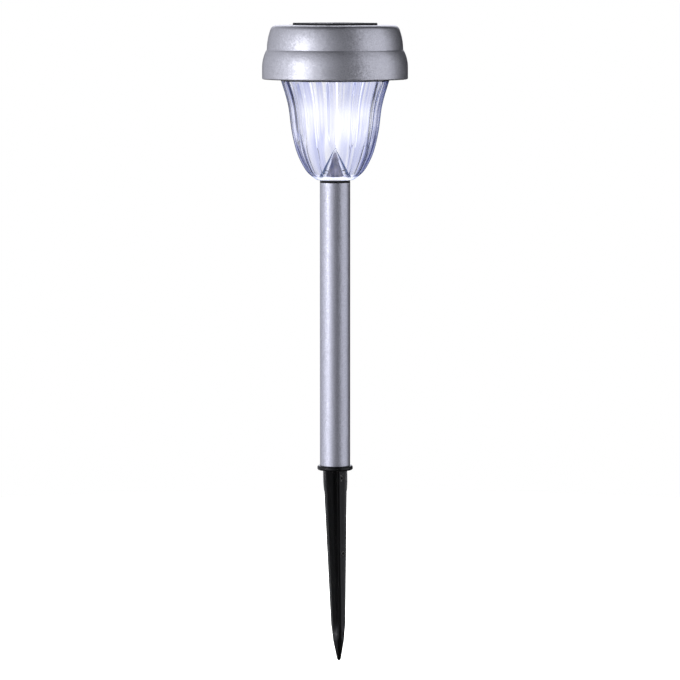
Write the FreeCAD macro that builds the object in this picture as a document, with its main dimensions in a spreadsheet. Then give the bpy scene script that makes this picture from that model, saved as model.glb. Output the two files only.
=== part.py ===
import FreeCAD, Part
import math
import os
import Sketcher

# Solar garden light: spike, tube, fluted lens and a two-tier head with its solar panel and electronics.
# Millimetres, +Z up. The origin is on the light's axis, at the underside of the spike's flange, which
# is ground level when the light stands in soil. The spike is below it and the lamp above.
# The driving sizes are in the sheet. Every other value is worked out from them.

V = FreeCAD.Vector

DRIVING_SIZES = {
    # spike
    "spike_depth": 122.4,
    "spike_turn": 16.0,
    "blade_width": 15.75,
    "blade_thickness": 1.8,
    "blade_shoulder_depth": 8.5,
    "blade_neck_depth": 15.3,
    "blade_neck_width": 14.8,
    "blade_foot_depth": 98.6,
    "blade_foot_width": 9.5,
    "point_depth": 109.8,
    "point_width": 6.9,
    "tip_width": 2.2,
    "valley_depth": 107.6,
    "core_top_depth": 96.9,
    "flange_width": 22.3,
    "flange_height": 2.2,
    "flange_edge": 1.0,
    "plug_height": 22.0,
    "plug_floor": 1.8,
    "lead_in": 0.8,
    "mark_width": 2.4,
    "mark_sink": 0.15,
    "mark_offset": 4.0,
    "upper_mark_depth": 6.0,
    "lower_mark_depth": 54.0,
    # tube
    "tube_width": 19.0,
    "tube_wall": 0.6,
    "tube_top": 181.0,
    "tube_gap": 0.05,
    # lens
    "flute_count": 12,
    "crease_angle": -88.0,
    "lens_wall": 1.6,
    "lens_foot": 182.0,
    "lens_floor": 183.3,
    "floor_width": 22.8,
    "lens_top": 251.6,
    "neck_width": 68.8,
    "shoulder_width": 18.9,
    "spigot_length": 12.0,
    "spigot_wall": 1.3,
    "cone_width": 19.8,
    "cone_top": 202.0,
    "cone_wall": 1.1,
    "cone_tip_width": 1.0,
    "lug_width": 71.8,
    "lug_bottom": 248.1,
    "lug_height": 1.8,
    "lug_angle": 20.0,
    "bayonet_count": 3,
    # cap
    "cap_bottom": 244.8,
    "cap_width": 91.0,
    "cap_edge": 1.2,
    "cap_bulge_foot": 252.1,
    "cap_bulge": 23.3,
    "step_bottom": 262.6,
    "step_bottom_width": 86.0,
    "step_top": 263.2,
    "step_top_width": 85.0,
    "upper_bulge": 36.0,
    "cap_corner_foot": 276.0,
    "cap_top": 278.4,
    "ceiling": 276.0,
    "skirt_width": 87.2,
    "ledge": 255.5,
    "ledge_width": 84.0,
    "inner_shoulder_width": 81.8,
    "ceiling_width": 73.0,
    "inner_corner": 272.6,
    "inner_corner_width": 78.4,
    "boss_width": 4.8,
    "boss_top": 261.1,
    "boss_circle": 79.2,
    "boss_angle": 90.0,
    "screw_count": 3,
    # solar panel
    "panel_width": 38.0,
    "panel_turn": -53.6,
    "panel_recess": 1.2,
    "panel_gap": 0.3,
    "pad_thickness": 0.4,
    "board_thickness": 1.0,
    "cell_thickness": 0.3,
    "panel_top": 279.9,
    "cell_count": 4,
    "cell_gap": 0.5,
    "cell_margin": 1.9,
    "wire_hole": 5.0,
    # base plate
    "plate_bottom": 253.0,
    "plate_top": 255.0,
    "plate_width": 86.4,
    "collar_bottom": 246.5,
    "collar_width": 74.6,
    "collar_inside": 72.6,
    "ledge_inside": 70.0,
    "ledge_height": 1.2,
    "slot_angle": 26.0,
    "twist_angle": 24.0,
    "stop_angle": 3.0,
    "stop_drop": 0.5,
    "seal_inside": 65.8,
    "seal_outside": 71.4,
    # battery and its box
    "battery_width": 10.5,
    "battery_length": 44.5,
    "nub_width": 3.8,
    "nub_length": 1.0,
    "battery_start": -24.25,
    "battery_y": 10.4,
    "battery_z": 260.6,
    "box_start": -27.1,
    "box_end": 20.8,
    "box_wall": 1.2,
    "box_inside": 11.0,
    "box_ceiling": 266.2,
    "contact_thickness": 0.4,
    "contact_width": 8.0,
    "contact_bottom": 256.2,
    "contact_top": 265.0,
    "tab_width": 3.0,
    "tab_reach": 3.0,
    "spring_wire": 0.6,
    "spring_width": 6.6,
    "spring_tip_width": 4.2,
    "spring_turns": 2.5,
    # battery door
    "door_start": -28.4,
    "door_end": 26.8,
    "door_width": 12.6,
    "door_height": 1.1,
    "door_recess": 1.2,
    "door_gap": 0.3,
    "door_corner": 3.5,
    "rib_length": 3.0,
    "rib_width": 9.0,
    "door_screw_x": 24.2,
    # screws
    "screw_head": 4.0,
    "screw_head_height": 1.2,
    "screw_shank": 2.4,
    "screw_length": 7.0,
    "small_head": 3.4,
    "small_head_height": 1.0,
    "small_shank": 1.5,
    "small_length": 4.6,
    "screw_play": 0.05,
    "hole_play": 0.3,
    "slot_play": 0.2,
    # electronics
    "board_left": -16.0,
    "board_right": 16.0,
    "board_front": -21.0,
    "board_back": 3.3,
    "board_bottom": 258.6,
    "circuit_thickness": 1.2,
    "post_width": 4.4,
    "post_x": 12.5,
    "post_y": -17.5,
    "led_width": 5.0,
    "led_flange": 5.8,
    "led_flange_height": 1.0,
    "led_tip": 247.6,
    "lead_width": 0.5,
    "lead_pitch": 2.54,
    "lead_stub": 0.8,
    "switch_x": -8.0,
    "switch_y": -11.0,
    "switch_length": 8.6,
    "switch_width": 4.3,
    "switch_bottom": 255.2,
    "switch_wall": 0.4,
    "chamber_length": 6.4,
    "chamber_width": 3.2,
    "chamber_top": 257.8,
    "stem_length": 2.2,
    "stem_width": 1.6,
    "stem_slot": 5.0,
    "stem_bottom": 251.4,
    "slider_head": 3.4,
    "slider_head_width": 2.6,
    "slider_head_height": 1.4,
    "slider_play": 0.3,
    "switch_travel": 2.0,
    "chip_length": 5.0,
    "chip_width": 3.8,
    "chip_height": 1.5,
    "inductor_width": 5.6,
    "inductor_core": 3.6,
    "inductor_height": 6.0,
    "wire_width": 1.1,
}

# The bell's outside: height, radius at the crowns, and how far the creases sink between them.
BELL_LEVELS = (
    (182.0, 11.2, 0.0),
    (183.1, 13.0, 0.0),
    (186.9, 17.6, 0.35),
    (192.8, 21.5, 0.8),
    (200.9, 24.9, 1.2),
    (213.1, 27.7, 1.4),
    (226.3, 29.4, 1.4),
    (234.4, 31.3, 1.4),
    (241.5, 33.4, 0.9),
    (245.6, 34.3, 0.2),
    (251.6, 34.4, 0.0),
)


class Size:
    """A number together with the sheet formula that gives it."""

    def __init__(self, number, formula):
        self.number = number
        self.formula = formula

    def joined(self, sign, other, number):
        return Size(number, f"({self.formula} {sign} {other.formula})")

    def __add__(self, other):
        other = size(other)
        return self.joined("+", other, self.number + other.number)

    def __sub__(self, other):
        other = size(other)
        return self.joined("-", other, self.number - other.number)

    def __mul__(self, other):
        other = size(other)
        return self.joined("*", other, self.number * other.number)

    def __truediv__(self, other):
        other = size(other)
        return self.joined("/", other, self.number / other.number)

    def __neg__(self):
        return Size(-self.number, f"(0 - {self.formula})")


def size(value):
    return value if isinstance(value, Size) else Size(float(value), repr(float(value)))


def make_sheet():
    """The sheet of driving sizes, and a reader that gives each one by name."""
    sheet = doc.addObject("Spreadsheet::Sheet", "Sizes")
    for row, (alias, number) in enumerate(DRIVING_SIZES.items(), start=1):
        sheet.set(f"A{row}", alias)
        sheet.set(f"B{row}", str(number))
        sheet.setAlias(f"B{row}", alias)
    doc.recompute()
    return {alias: Size(float(sheet.get(alias)), f"Sizes.{alias}") for alias in DRIVING_SIZES}


doc = FreeCAD.newDocument("GardenLight")
S = make_sheet()
ORIGIN_POINT = (-1, 1)


def bind(item, **properties):
    """Ties properties of an object to the sheet."""
    for name, value in properties.items():
        item.setExpression(name, size(value).formula)


def place(item, x=0, y=0, z=0):
    """Ties an object's position to the sheet."""
    for axis, value in zip("xyz", (x, y, z)):
        item.setExpression(f"Placement.Base.{axis}", size(value).formula)


def turn_about_axis(item, angle):
    """Turns an object about the light's axis by an angle from the sheet."""
    item.setExpression("Placement.Rotation.Angle", angle.formula)
    return item


# ---------------------------------------------------------------- Part primitives and booleans

def box(name, low, high):
    item = doc.addObject("Part::Box", name)
    low = [size(value) for value in low]
    high = [size(value) for value in high]
    bind(item, Length=high[0] - low[0], Width=high[1] - low[1], Height=high[2] - low[2])
    place(item, *low)
    return item


def cylinder(name, width, bottom, top, x=0, y=0):
    item = doc.addObject("Part::Cylinder", name)
    bind(item, Radius=size(width) / 2, Height=size(top) - bottom)
    place(item, x, y, bottom)
    return item


def lying_cylinder(name, width, start, end, y, z):
    """A cylinder along X."""
    item = cylinder(name, width, start, end)
    item.Placement = FreeCAD.Placement(V(), FreeCAD.Rotation(V(0, 1, 0), 90))
    place(item, start, y, z)
    return item


def cut(name, base, tool):
    item = doc.addObject("Part::Cut", name)
    item.Base = base
    item.Tool = tool
    return item


def fuse(name, *pieces):
    item = doc.addObject("Part::MultiFuse", name)
    item.Shapes = pieces
    return item


def group(name, pieces):
    """Separate solids kept together as one sub-part."""
    item = doc.addObject("Part::Compound", name)
    item.Links = pieces
    return item


# ---------------------------------------------------------------- Sketches and PartDesign features

def new_body(name):
    return doc.addObject("PartDesign::Body", name + "_body")


def new_sketch(body, name, role="XZ_Plane", height=0):
    """A sketch on one of the body's own origin planes, moved along that plane's normal."""
    sketch = body.newObject("Sketcher::SketchObject", name)
    plane = next(f for f in body.Origin.OriginFeatures if f.Role == role)
    sketch.AttachmentSupport = [(plane, "")]
    sketch.MapMode = "FlatFace"
    sketch.setExpression("AttachmentOffset.Base.z", size(height).formula)
    return sketch


def pin_point(sketch, geometry, end, x, y):
    """Holds one end of a curve at sheet-driven coordinates."""
    for kind, value in (("DistanceX", x), ("DistanceY", y)):
        index = sketch.addConstraint(
            Sketcher.Constraint(kind, *ORIGIN_POINT, geometry, end, value.number)
        )
        sketch.setExpression(f"Constraints[{index}]", value.formula)


def arc_between(start, end, radius):
    """The short arc from start to end, which bulges to the right of the way it runs."""
    chord = end - start
    right = V(chord.y, -chord.x, 0).normalize()
    reach = math.sqrt(radius * radius - chord.Length ** 2 / 4)
    top = (start + end) / 2 + right * (radius - reach)
    return Part.Arc(start, top, end)


def outline(body, name, corners, role="XZ_Plane", height=0):
    """A closed sketch through the corners, each (x, y) or (x, y, radius of the arc that ends there)."""
    sketch = new_sketch(body, name, role, height)
    corners = [tuple(size(value) for value in corner) for corner in corners]
    points = [V(corner[0].number, corner[1].number, 0) for corner in corners]
    for index, corner in enumerate(corners):
        start = points[index - 1]
        end = points[index]
        if len(corner) == 3:
            sketch.addGeometry(arc_between(start, end, corner[2].number), False)
        else:
            sketch.addGeometry(Part.LineSegment(start, end), False)
    for index, corner in enumerate(corners):
        following = (index + 1) % len(corners)
        sketch.addConstraint(Sketcher.Constraint("Coincident", index, 2, following, 1))
        pin_point(sketch, index, 2, corner[0], corner[1])
        if len(corner) == 3:
            held = sketch.addConstraint(Sketcher.Constraint("Radius", index, corner[2].number))
            sketch.setExpression(f"Constraints[{held}]", corner[2].formula)
    return sketch


def rectangle(body, name, x0, x1, y0, y1, height, role="XY_Plane"):
    return outline(body, name, [(x0, y0), (x1, y0), (x1, y1), (x0, y1)], role, height)


def rounded_rectangle(body, name, x0, x1, y0, y1, corner, height):
    corners = [
        (x1 - corner, y0),
        (x1, y0 + corner, corner),
        (x1, y1 - corner),
        (x1 - corner, y1, corner),
        (x0 + corner, y1),
        (x0, y1 - corner, corner),
        (x0, y0 + corner),
        (x0 + corner, y0, corner),
    ]
    return outline(body, name, corners, "XY_Plane", height)


def circles(body, name, spots, width, height, role="XY_Plane"):
    """Circles of one size at the given spots."""
    sketch = new_sketch(body, name, role, height)
    width = size(width)
    for index, spot in enumerate(spots):
        x, y = (size(value) for value in spot)
        sketch.addGeometry(Part.Circle(V(x.number, y.number, 0), V(0, 0, 1), width.number / 2))
        pin_point(sketch, index, 3, x, y)
        held = sketch.addConstraint(Sketcher.Constraint("Diameter", index, width.number))
        sketch.setExpression(f"Constraints[{held}]", width.formula)
    return sketch


def turn(direction, sheet_angle):
    """The cosine and sine of a direction in degrees plus an angle from the sheet."""
    angle = direction + sheet_angle.number
    text = f"({direction} + {sheet_angle.formula}) * 1 deg"
    cosine = Size(math.cos(math.radians(angle)), f"cos({text})")
    sine = Size(math.sin(math.radians(angle)), f"sin({text})")
    return cosine, sine


def sector(body, name, inner, outer, direction, half_angle, height):
    """A ring sector centred on a direction, between two radii."""
    first = turn(direction, -half_angle)
    last = turn(direction, half_angle)
    corners = [
        (inner * first[0], inner * first[1]),
        (outer * first[0], outer * first[1]),
        (outer * last[0], outer * last[1], outer),
        (inner * last[0], inner * last[1]),
    ]
    return outline(body, name, corners, "XY_Plane", height)


def revolve(body, sketch):
    item = body.newObject("PartDesign::Revolution", sketch.Name + "_turned")
    item.Profile = sketch
    item.ReferenceAxis = (sketch, ["V_Axis"])
    item.Angle = 360
    return item


def pad(body, sketch, length, down=False):
    item = body.newObject("PartDesign::Pad", sketch.Name + "_pad")
    item.Profile = sketch
    bind(item, Length=length)
    item.Reversed = down
    return item


def pocket(body, sketch, depth, up=False):
    item = body.newObject("PartDesign::Pocket", sketch.Name + "_cut")
    item.Profile = sketch
    bind(item, Length=depth)
    item.Reversed = up
    return item


def polar(body, feature, count):
    item = body.newObject("PartDesign::PolarPattern", feature.Name + "_round")
    item.Originals = [feature]
    item.Axis = (feature.Profile[0], ["N_Axis"])
    item.Angle = 360
    bind(item, Occurrences=count)
    body.Tip = item
    return item


def turned(name, corners):
    """A body made by turning one outline about the light's axis."""
    body = new_body(name)
    revolve(body, outline(body, name + "_outline", corners))
    return body


def ring(name, inner_width, outer_width, bottom, top):
    inner = size(inner_width) / 2
    outer = size(outer_width) / 2
    return turned(name, [(inner, bottom), (outer, bottom), (outer, top), (inner, top)])


# ---------------------------------------------------------------- Spike and tube

def spike():
    body = new_body("spike")
    edge = S["flange_edge"]
    plug = S["tube_width"] / 2 - S["tube_wall"] - S["tube_gap"]
    blade = S["blade_width"] / 2
    revolve(body, outline(body, "spike_outline", [
        (0, -S["spike_depth"]),
        (S["tip_width"] / 2 - 0.2, -S["spike_depth"]),
        (S["tip_width"] / 2, -(S["spike_depth"] - 0.6)),
        (S["point_width"] / 2, -S["point_depth"]),
        (S["blade_foot_width"] / 2, -S["blade_foot_depth"]),
        (S["blade_neck_width"] / 2, -S["blade_neck_depth"]),
        (blade, -S["blade_shoulder_depth"]),
        (blade, 0),
        (S["flange_width"] / 2 - edge, 0),
        (S["flange_width"] / 2, edge, edge),
        (S["flange_width"] / 2, S["flange_height"] - edge),
        (S["flange_width"] / 2 - edge, S["flange_height"], edge),
        (plug, S["flange_height"]),
        (plug, S["plug_height"] - S["lead_in"]),
        (plug - S["lead_in"], S["plug_height"]),
        (0, S["plug_height"]),
    ]))
    root = S["blade_thickness"] / 2
    reach = S["flange_width"]
    valley = rectangle(body, "valley", root, reach, root, reach, 0)
    polar(body, pocket(body, valley, S["valley_depth"]), 4)
    rib_foot = S["flange_height"] + S["plug_floor"]
    rib_gap = rectangle(body, "rib_gap", root, reach, root, reach, rib_foot)
    polar(body, pocket(body, rib_gap, S["plug_height"], up=True), 4)
    core_foot = S["point_width"] / 2
    core = outline(body, "core", [
        (0, -S["core_top_depth"]),
        (0, -S["valley_depth"]),
        (core_foot, -S["valley_depth"]),
    ])
    body.Tip = revolve(body, core)
    marks = [(S["mark_offset"], -S["upper_mark_depth"]), (S["mark_offset"], -S["lower_mark_depth"])]
    pocket(body, circles(body, "ejector_marks", marks, S["mark_width"], root, "XZ_Plane"), S["mark_sink"])
    return turn_about_axis(body, S["spike_turn"])


def tube():
    inside = S["tube_width"] - S["tube_wall"] * 2
    return ring("tube", inside, S["tube_width"], S["flange_height"], S["tube_top"])


# ---------------------------------------------------------------- Lens

def level_wire(radius, sink, height):
    """One level of the bell: arcs that bulge outwards and meet in creases."""
    count = int(S["flute_count"].number)
    pitch = 2 * math.pi / count
    start = math.radians(S["crease_angle"].number)
    edges = []
    for flute in range(count):
        angles = (start + flute * pitch, start + (flute + 0.5) * pitch, start + (flute + 1) * pitch)
        radii = (radius - sink, radius, radius - sink)
        points = [V(r * math.cos(a), r * math.sin(a), height) for r, a in zip(radii, angles)]
        edges.append(Part.Arc(*points).toShape())
    return Part.Wire(edges)


def sector_solid(inner, outer, direction, half_angle, bottom, height):
    """A solid ring sector."""
    first = math.radians(direction - half_angle)
    last = math.radians(direction + half_angle)
    middle = math.radians(direction)

    def at(radius, angle):
        return V(radius * math.cos(angle), radius * math.sin(angle), bottom)

    edges = [
        Part.LineSegment(at(inner, first), at(outer, first)).toShape(),
        Part.Arc(at(outer, first), at(outer, middle), at(outer, last)).toShape(),
        Part.LineSegment(at(outer, last), at(inner, last)).toShape(),
        Part.Arc(at(inner, last), at(inner, middle), at(inner, first)).toShape(),
    ]
    return Part.Face(Part.Wire(edges)).extrude(V(0, 0, height))


def lens():
    """The clear bell with its flutes, the hollow cone in its floor, its spigot and its bayonet lugs."""
    n = {alias: value.number for alias, value in S.items()}
    wall = n["lens_wall"]
    outside = Part.makeLoft([level_wire(r, sink, z) for z, r, sink in BELL_LEVELS], True, False)
    inside = [level_wire(n["floor_width"] / 2, 0, n["lens_floor"])]
    inside += [level_wire(r - wall, sink, z) for z, r, sink in BELL_LEVELS if z > n["lens_floor"] + wall]
    hollow = Part.makeLoft(inside, True, False)
    cone_base = n["cone_width"] / 2
    tip = n["cone_tip_width"] / 2
    cone_height = n["cone_top"] - n["lens_floor"]
    cone = Part.makeCone(cone_base, tip, cone_height, V(0, 0, n["lens_floor"]))
    bell = outside.cut(hollow.cut(cone))
    spigot_radius = n["tube_width"] / 2 - n["tube_wall"] - n["tube_gap"]
    spigot_foot = n["tube_top"] - n["spigot_length"]
    spigot = Part.makeCylinder(spigot_radius, n["spigot_length"] + 1.0, V(0, 0, spigot_foot))
    shoulder = Part.makeCylinder(n["shoulder_width"] / 2, 1.0, V(0, 0, n["tube_top"]))
    bell = bell.fuse(spigot).fuse(shoulder)
    bore_radius = spigot_radius - n["spigot_wall"]
    bore = Part.makeCylinder(bore_radius, n["lens_foot"] - spigot_foot, V(0, 0, spigot_foot))
    inner_cone_height = cone_height - n["cone_wall"] - 0.3
    inner_cone = Part.makeCone(bore_radius, 0.15, inner_cone_height, V(0, 0, n["lens_foot"]))
    bell = bell.cut(bore.fuse(inner_cone))
    for lug in range(int(n["bayonet_count"])):
        direction = 90 + 360 * lug / n["bayonet_count"]
        neck = n["neck_width"] / 2
        bell = bell.fuse(sector_solid(
            neck - wall / 2, n["lug_width"] / 2, direction, n["lug_angle"] / 2,
            n["lug_bottom"], n["lug_height"],
        ))
    item = doc.addObject("Part::Feature", "lens_shape")
    item.Shape = bell.removeSplitter()
    item.Placement = FreeCAD.Placement()
    return item


def lens_seal():
    return ring("lens_seal", S["seal_inside"], S["seal_outside"], S["lens_top"], S["plate_bottom"])


# ---------------------------------------------------------------- Head shell

def top_cap():
    body = new_body("top_cap")
    rim = S["cap_width"] / 2
    lean = S["cap_corner_foot"] - S["step_top"]
    bulge = S["upper_bulge"]
    run = math.sqrt(bulge.number ** 2 - lean.number ** 2)
    corner_foot = S["step_top_width"] / 2 - bulge + Size(
        run, f"sqrt({bulge.formula} ^ 2 - {lean.formula} ^ 2)"
    )
    corner = (S["cap_top"] - S["cap_corner_foot"]) / (size(1) - lean / bulge)
    flat = corner_foot - corner * Size(
        run / bulge.number, f"(sqrt({bulge.formula} ^ 2 - {lean.formula} ^ 2) / {bulge.formula})"
    )
    revolve(body, outline(body, "cap_outline", [
        (S["skirt_width"] / 2, S["cap_bottom"]),
        (rim - S["cap_edge"], S["cap_bottom"]),
        (rim, S["cap_bottom"] + S["cap_edge"], S["cap_edge"]),
        (rim, S["cap_bulge_foot"]),
        (S["step_bottom_width"] / 2, S["step_bottom"], S["cap_bulge"]),
        (S["step_top_width"] / 2, S["step_top"]),
        (corner_foot, S["cap_corner_foot"], bulge),
        (flat, S["cap_top"], corner),
        (0, S["cap_top"]),
        (0, S["ceiling"]),
        (S["ceiling_width"] / 2, S["ceiling"]),
        (S["inner_corner_width"] / 2, S["inner_corner"]),
        (S["inner_shoulder_width"] / 2, S["step_bottom"]),
        (S["ledge_width"] / 2, S["ledge"]),
        (S["skirt_width"] / 2, S["ledge"]),
    ]))
    boss_spot = turn(0, S["boss_angle"])
    spot = (boss_spot[0] * S["boss_circle"] / 2, boss_spot[1] * S["boss_circle"] / 2)
    boss = circles(body, "screw_boss", [spot], S["boss_width"], S["plate_top"])
    polar(body, pad(body, boss, S["boss_top"] - S["plate_top"]), S["screw_count"])
    pilot = circles(body, "screw_pilot", [spot], S["screw_shank"] + S["screw_play"] * 2, S["plate_top"])
    pilot_depth = S["screw_length"] - (S["plate_top"] - S["plate_bottom"]) + 0.5
    polar(body, pocket(body, pilot, pilot_depth, up=True), S["screw_count"])
    seat = panel_square(body, "panel_seat", S["panel_width"] + S["panel_gap"] * 2, S["cap_top"])
    pocket(body, seat, S["panel_recess"])
    wires = circles(body, "wire_way", [(0, 0)], S["wire_hole"], S["cap_top"])
    pocket(body, wires, S["cap_top"] - S["ceiling"] + 1)
    return body


# ---------------------------------------------------------------- Solar panel

def panel_square(body, name, width, height):
    """The panel's square, turned on the cap's top so that one corner leads."""
    reach = size(width) / Size(math.sqrt(2), "sqrt(2)")
    corners = []
    for quarter in range(4):
        cosine, sine = turn(90 * quarter + 45, S["panel_turn"])
        corners.append((reach * cosine, reach * sine))
    return outline(body, name, corners, "XY_Plane", height)


def panel_levels():
    """The heights that part the panel's layers, from the pad's underside up."""
    pad_bottom = S["cap_top"] - S["panel_recess"]
    board_bottom = pad_bottom + S["pad_thickness"]
    cells_bottom = board_bottom + S["board_thickness"]
    return pad_bottom, board_bottom, cells_bottom


def panel_pad():
    body = new_body("panel_pad")
    pad_bottom = panel_levels()[0]
    pad(body, panel_square(body, "pad_square", S["panel_width"] - 1, pad_bottom), S["pad_thickness"])
    hole = circles(body, "pad_hole", [(0, 0)], S["wire_hole"], pad_bottom)
    pocket(body, hole, S["pad_thickness"] * 2, up=True)
    return body


def panel_board():
    body = new_body("panel_board")
    board_bottom = panel_levels()[1]
    pad(body, panel_square(body, "board_square", S["panel_width"], board_bottom), S["board_thickness"])
    return body


def cell_boxes(name):
    """The strips of silicon, side by side across the panel."""
    cells_bottom = panel_levels()[2]
    count = int(S["cell_count"].number)
    width = S["panel_width"] - S["cell_margin"] * 2
    pitch = (width + S["cell_gap"]) / S["cell_count"]
    strips = []
    for number in range(count):
        left = -(width / 2) + pitch * number
        right = left + pitch - S["cell_gap"]
        low = (left, -(width / 2), cells_bottom)
        high = (right, width / 2, cells_bottom + S["cell_thickness"])
        strips.append(box(f"{name}_{number + 1}", low, high))
    return strips




def solar_cells():
    return turn_about_axis(group("solar_cells_group", cell_boxes("cell")), S["panel_turn"])


def panel_cover():
    """The clear layer, cast over the cells."""
    half = S["panel_width"] / 2
    cells_bottom = panel_levels()[2]
    slab = box("cover_slab", (-half, -half, cells_bottom), (half, half, S["panel_top"]))
    return turn_about_axis(cut("panel_cover_cut", slab, fuse("cell_room", *cell_boxes("room"))), S["panel_turn"])


# ---------------------------------------------------------------- Base plate

def base_plate():
    body = new_body("base_plate")
    bottom = S["plate_bottom"]
    top = S["plate_top"]
    collar = S["collar_width"] / 2
    inside = S["collar_inside"] / 2
    ledge = S["ledge_inside"] / 2
    ledge_top = S["collar_bottom"] + S["ledge_height"]
    rim = S["plate_width"] / 2
    revolve(body, outline(body, "plate_outline", [
        (0, bottom),
        (inside, bottom),
        (inside, ledge_top),
        (ledge, ledge_top),
        (ledge, S["collar_bottom"]),
        (collar, S["collar_bottom"]),
        (collar, bottom),
        (rim, bottom),
        (rim, top),
        (0, top),
    ]))
    slot = sector(body, "bayonet_slot", ledge - 1, inside, 90, S["slot_angle"] / 2, S["collar_bottom"])
    polar(body, pocket(body, slot, S["ledge_height"], up=True), S["bayonet_count"])
    stop_middle = 90 - (S["twist_angle"] + S["lug_angle"] / 2 + S["stop_angle"] / 2 + 1).number
    stop = sector(body, "bayonet_stop", ledge, inside + 0.5, stop_middle, S["stop_angle"] / 2, ledge_top)
    stop_top = S["lens_top"] - S["stop_drop"]
    polar(body, pad(body, stop, stop_top - ledge_top), S["bayonet_count"])

    wall = S["box_wall"]
    near = S["battery_y"] - S["box_inside"] / 2
    far = S["battery_y"] + S["box_inside"] / 2
    x0 = S["box_start"]
    x1 = S["box_end"]
    shell = rectangle(body, "box_shell", x0 - wall, x1 + wall, near - wall, far + wall, top)
    pad(body, shell, S["box_ceiling"] + wall - top)
    screw_boss = circles(
        body, "door_boss", [(S["door_screw_x"], S["battery_y"])], S["post_width"], top
    )
    pad(body, screw_boss, S["small_length"] - 1)
    room = rectangle(body, "box_room", x0, x1, near, far, bottom)
    pocket(body, room, S["box_ceiling"] - bottom, up=True)
    half_door = S["door_width"] / 2 + S["door_gap"]
    recess = rounded_rectangle(
        body, "door_recess", S["door_start"] - S["door_gap"], S["door_end"] + S["door_gap"],
        S["battery_y"] - half_door, S["battery_y"] + half_door, S["door_corner"], bottom,
    )
    pocket(body, recess, S["door_recess"], up=True)
    door_pilot = circles(
        body, "door_pilot", [(S["door_screw_x"], S["battery_y"])],
        S["small_shank"] + S["screw_play"] * 2, bottom,
    )
    pocket(body, door_pilot, S["small_length"] + 0.4, up=True)
    for end, x in (("front", x1 - 0.5), ("rear", x0 - wall - 0.5)):
        half_tab = S["tab_width"] / 2 + S["slot_play"]
        way = rectangle(
            body, f"tab_way_{end}", x, x + wall + 1,
            S["battery_y"] - half_tab, S["battery_y"] + half_tab, S["contact_top"] - 1.4,
        )
        pocket(body, way, 0.8, up=True)

    led_hole = circles(body, "led_hole", [(0, 0)], S["led_width"] + S["slot_play"], bottom)
    pocket(body, led_hole, top - bottom + 1, up=True)
    half_slot = S["stem_slot"] / 2 + S["slot_play"]
    half_width = S["stem_width"] / 2 + S["slider_play"] + 0.1
    slider_slot = rectangle(
        body, "slider_slot", S["switch_x"] - half_slot, S["switch_x"] + half_slot,
        S["switch_y"] - half_width, S["switch_y"] + half_width, bottom,
    )
    pocket(body, slider_slot, top - bottom + 1, up=True)
    posts = [(-S["post_x"], S["post_y"]), (S["post_x"], S["post_y"])]
    pad(body, circles(body, "board_posts", posts, S["post_width"], top), S["board_bottom"] - top)
    pilots = circles(body, "post_pilots", posts, S["small_shank"] + S["screw_play"] * 2, S["board_bottom"])
    pocket(body, pilots, S["small_length"] - S["circuit_thickness"] + 0.2)
    spot = turn(0, S["boss_angle"])
    screw_spot = (spot[0] * S["boss_circle"] / 2, spot[1] * S["boss_circle"] / 2)
    hole = circles(body, "screw_hole", [screw_spot], S["screw_shank"] + S["hole_play"], bottom)
    polar(body, pocket(body, hole, top - bottom + 1, up=True), S["screw_count"])
    return body


def housing_seal():
    return ring("housing_seal", S["ledge_width"] + 0.2, S["plate_width"], S["plate_top"], S["ledge"])


# ---------------------------------------------------------------- Battery, its door and contacts

def battery_cell():
    end = S["battery_start"] + S["battery_length"]
    shoulder = end - S["nub_length"]
    y = S["battery_y"]
    z = S["battery_z"]
    can = lying_cylinder("can", S["battery_width"], S["battery_start"], shoulder, y, z)
    nub = lying_cylinder("nub", S["nub_width"], shoulder, end, y, z)
    return fuse("battery_cell_fused", can, nub)


def battery_plate():
    """The flat contact that the battery's nub meets, with its solder tab outside the box."""
    start = S["battery_start"] + S["battery_length"]
    half = S["contact_width"] / 2
    half_tab = S["tab_width"] / 2
    y = S["battery_y"]
    tab_bottom = S["contact_top"] - 1.2
    blade = box(
        "plate_blade", (start, y - half, S["contact_bottom"]),
        (start + S["contact_thickness"], y + half, S["contact_top"]),
    )
    tab = box(
        "plate_tab", (start, y - half_tab, tab_bottom),
        (start + S["tab_reach"], y + half_tab, tab_bottom + S["contact_thickness"]),
    )
    return fuse("battery_plate_fused", blade, tab)


def battery_spring():
    """The coil contact at the battery's flat end: a tapering coil on a plate with a solder tab."""
    n = {alias: value.number for alias, value in S.items()}
    back = n["box_start"] + 0.05
    face = back + n["contact_thickness"]
    half = n["contact_width"] / 2
    middle = V(face, n["battery_y"], n["battery_z"])
    plate = Part.makeBox(
        n["contact_thickness"], n["contact_width"], n["contact_top"] - n["contact_bottom"],
        V(back, n["battery_y"] - half, n["contact_bottom"]),
    )
    tab = Part.makeBox(
        n["tab_reach"], n["tab_width"], n["contact_thickness"],
        V(face - n["tab_reach"], n["battery_y"] - n["tab_width"] / 2, n["contact_top"] - 1.2),
    )
    wire_radius = n["spring_wire"] / 2
    length = n["battery_start"] - face - wire_radius
    pitch = length / n["spring_turns"]
    base_radius = n["spring_width"] / 2
    lean = math.degrees(math.atan((n["spring_tip_width"] - n["spring_width"]) / 2 / length))
    helix = Part.makeHelix(pitch, length, base_radius, lean)
    section = Part.Wire(Part.makeCircle(wire_radius, V(base_radius, 0, 0), V(0, 1, 0)))
    coil = Part.Wire(helix).makePipeShell([section], True, True)
    coil.Placement = FreeCAD.Placement(middle, FreeCAD.Rotation(V(0, 1, 0), 90))
    item = doc.addObject("Part::Feature", "battery_spring_shape")
    item.Shape = plate.fuse(tab).fuse(coil)
    item.Placement = FreeCAD.Placement()
    return item


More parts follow.
